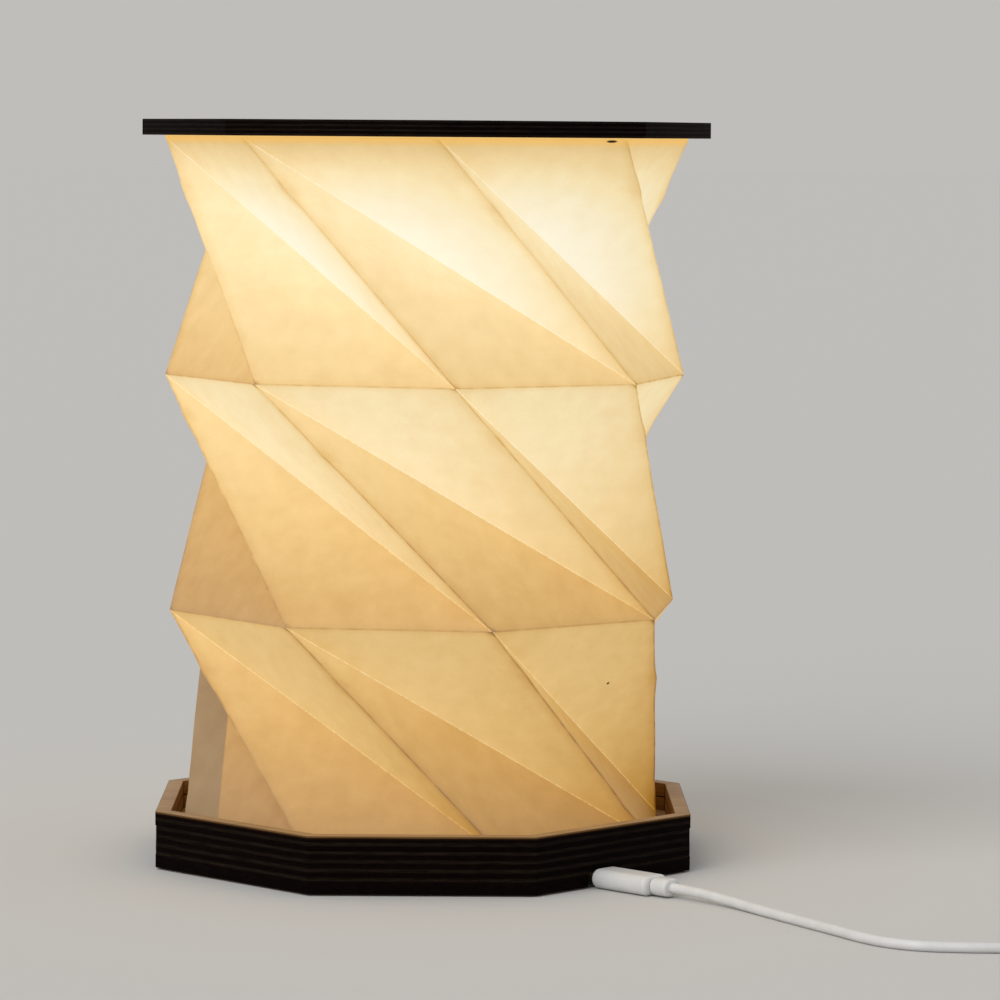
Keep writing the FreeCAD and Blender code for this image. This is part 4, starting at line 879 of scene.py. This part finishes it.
raise_surface(tree, shader, maths(tree, "ADD", fibres, cross_fibres), 0.03 * mm)
shade.data.materials.append(PAPER)
print("the finished paper has", len(tree.nodes), "nodes and", len(PAPER_TONES), "tones")

# %% Finished shade
settle(shade, "shade", ["paper_shade"])
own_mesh(shade)

# %% [markdown]
# ## Plug and strain relief
# The small plug is one white moulding with a flat oval section and soft ends. It starts as a
# block whose four long edges are rounded until the sides are half round.


# %% A flat oval moulding
def oval_moulding(name, length, width, height, place, end_round):
    bpy.ops.object.select_all(action="DESELECT")
    bpy.ops.mesh.primitive_cube_add(size=1, location=place, rotation=(0, 0, math.radians(FACE_TURN)),
                                    scale=(length, width, height))
    block = bpy.context.object
    block.name = name
    only(block)
    bpy.ops.object.transform_apply(location=False, rotation=False, scale=True)

    def runs_along(edge):
        start, end = edge_points(block, edge)
        return abs(start.x - end.x) > 0.9 * length

    select_parts(block, "EDGE", runs_along)
    bpy.ops.mesh.bevel(offset=(height - 0.1 * mm) / 2, segments=12, affect="EDGES")
    done()

    def at_end(edge):
        start, end = edge_points(block, edge)
        return abs(start.x) > 0.49 * length and abs(start.x - end.x) < 0.01 * mm

    select_parts(block, "EDGE", at_end)
    bpy.ops.mesh.bevel(offset=end_round, segments=6, affect="EDGES", clamp_overlap=True)
    done()
    block.data.materials.append(WHITE_PLASTIC)
    return block


plug_body = oval_moulding("plug_body", 24 * mm, 12.3 * mm, 6.4 * mm, beside_socket(102.3 * mm), 1.7 * mm)
settle(plug_body, "base", ["usb_c_body"])

# %% Strain relief with a collar
relief = oval_moulding("plug_strain_relief", 7 * mm, 8 * mm, 5.8 * mm, beside_socket(117.8 * mm), 1.0 * mm)
settle(relief, "base", ["usb_c_boot"])
cable_curve.materials.append(WHITE_CABLE)

# %% [markdown]
# ## The lead inside the shade
# A thin lead hangs slack between the tray and the light unit and folds up as the lid comes down.
# It is a smooth curve with a round section, made a mesh.

# %% Lead
LEAD_LOW, LEAD_HIGH, SLACK = 10.2 * mm, 245.1 * mm, 3.5 * mm
slack_curve = bpy.data.curves.new("slack_line", "CURVE")
slack_curve.dimensions = "3D"
slack_curve.bevel_depth = 1.0 * mm
slack_curve.bevel_resolution = 3
slack_curve.use_fill_caps = True
line = slack_curve.splines.new("NURBS")
bows = ((0, 0, 0), (0, 0, 0.12), (1, 0.6, 0.30), (0.5, 1, 0.48), (-0.9, 0.2, 0.68), (0, 0, 0.88), (0, 0, 1))
line.points.add(len(bows) - 1)
for point, (right, back, share) in zip(line.points, bows):
    point.co = (right * SLACK, back * SLACK, LEAD_LOW + (LEAD_HIGH - LEAD_LOW) * share, 1)
line.order_u = 3
line.use_endpoint_u = True
inner_lead = bpy.data.objects.new("inner_lead", slack_curve)
bpy.context.scene.collection.objects.link(inner_lead)
only(inner_lead)
bpy.ops.object.convert(target="MESH")
inner_lead = bpy.context.object
inner_lead.data.materials.append(WHITE_CABLE)
settle(inner_lead, "lead", ["led_lead"])
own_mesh(inner_lead)

# %% [markdown]
# ## Parts taken over from the model
# The small parts inside the tray and under the lid, the felt and the far plug already have their
# true shape, so they keep it and only take a finish.

# %% Finishes of the model's own parts
FINISHES = {
    "felt_pad": FELT_CLOTH, "lower_shade_ring": CARD, "upper_shade_ring": CARD,
    "usb_socket_shell": PLATED_STEEL, "usb_socket_tongue": BLACK_PLASTIC, "driver_board": GREEN_BOARD,
    "driver_chip": BLACK_PLASTIC, "driver_inductor": BLACK_PLASTIC, "driver_capacitors": CERAMIC,
    "board_spacers": BLACK_PLASTIC, "board_screws": SCREW_STEEL, "lead_grommet": WHITE_RUBBER,
    "led_lead_foot": WHITE_CABLE, "led_board": WHITE_BOARD, "led_chips": LIT_CHIP, "led_diffuser": LIT_CAP,
    "led_screws": SCREW_STEEL, "usb_c_shell": PLATED_STEEL, "usb_a_boot": WHITE_PLASTIC,
    "usb_a_body": WHITE_PLASTIC, "usb_a_shell": PLATED_STEEL, "usb_a_tongue": BLACK_PLASTIC,
}
for node, finish in FINISHES.items():
    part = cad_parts[node]
    part.data.materials.clear()
    part.data.materials.append(finish)
print(len(FINISHES), "parts of the model have their finish")
left = [n for n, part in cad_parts.items() if n not in FINISHES and not part.hide_render]
print("without one:", left)

# %% [markdown]
# ## The studio
# A pale floor and pale surroundings, and soft light from all round with one very broad lamp from
# the front left, at a level at which a colour renders about as it is written.

# %% Floor
bpy.ops.object.select_all(action="DESELECT")
bpy.ops.mesh.primitive_plane_add(size=60, location=(0, 0, 0))
floor = bpy.context.object
floor.name = "studio_floor"
PALE = (0.60, 0.59, 0.57)
PALE_FLOOR, tree, shader = new_material("pale_floor", Base_Color=(*PALE, 1), Roughness=0.9)
floor.data.materials.append(PALE_FLOOR)

# %% Light
scene = bpy.context.scene
scene.view_settings.view_transform = "Standard"
world = bpy.data.worlds.new("soft_room")
scene.world = world
world.use_nodes = True
tree = world.node_tree
LIGHTS_WITH = (0.55, 0.55, 0.55)
SEEN_AS = (0.522, 0.513, 0.495)  # as the floor looks in this light, so that no horizon shows
path = add_node(tree, "LightPath")
seen = maths(tree, "MAXIMUM", path.outputs["Is Camera Ray"],
             maths(tree, "MAXIMUM", path.outputs["Is Glossy Ray"], path.outputs["Is Transmission Ray"]))
tree.links.new(blend_colours(tree, seen, LIGHTS_WITH, SEEN_AS),
               tree.nodes["Background"].inputs["Color"])
bpy.ops.object.light_add(type="SUN", location=(-1.2, -1.6, 1.6))
key = bpy.context.object
key.rotation_euler = (Vector((0, 0, 0)) - key.location).to_track_quat("-Z", "Y").to_euler()
key.data.energy = 1.5
key.data.angle = math.radians(50)

# %% The end
bpy.context.view_layer.update()
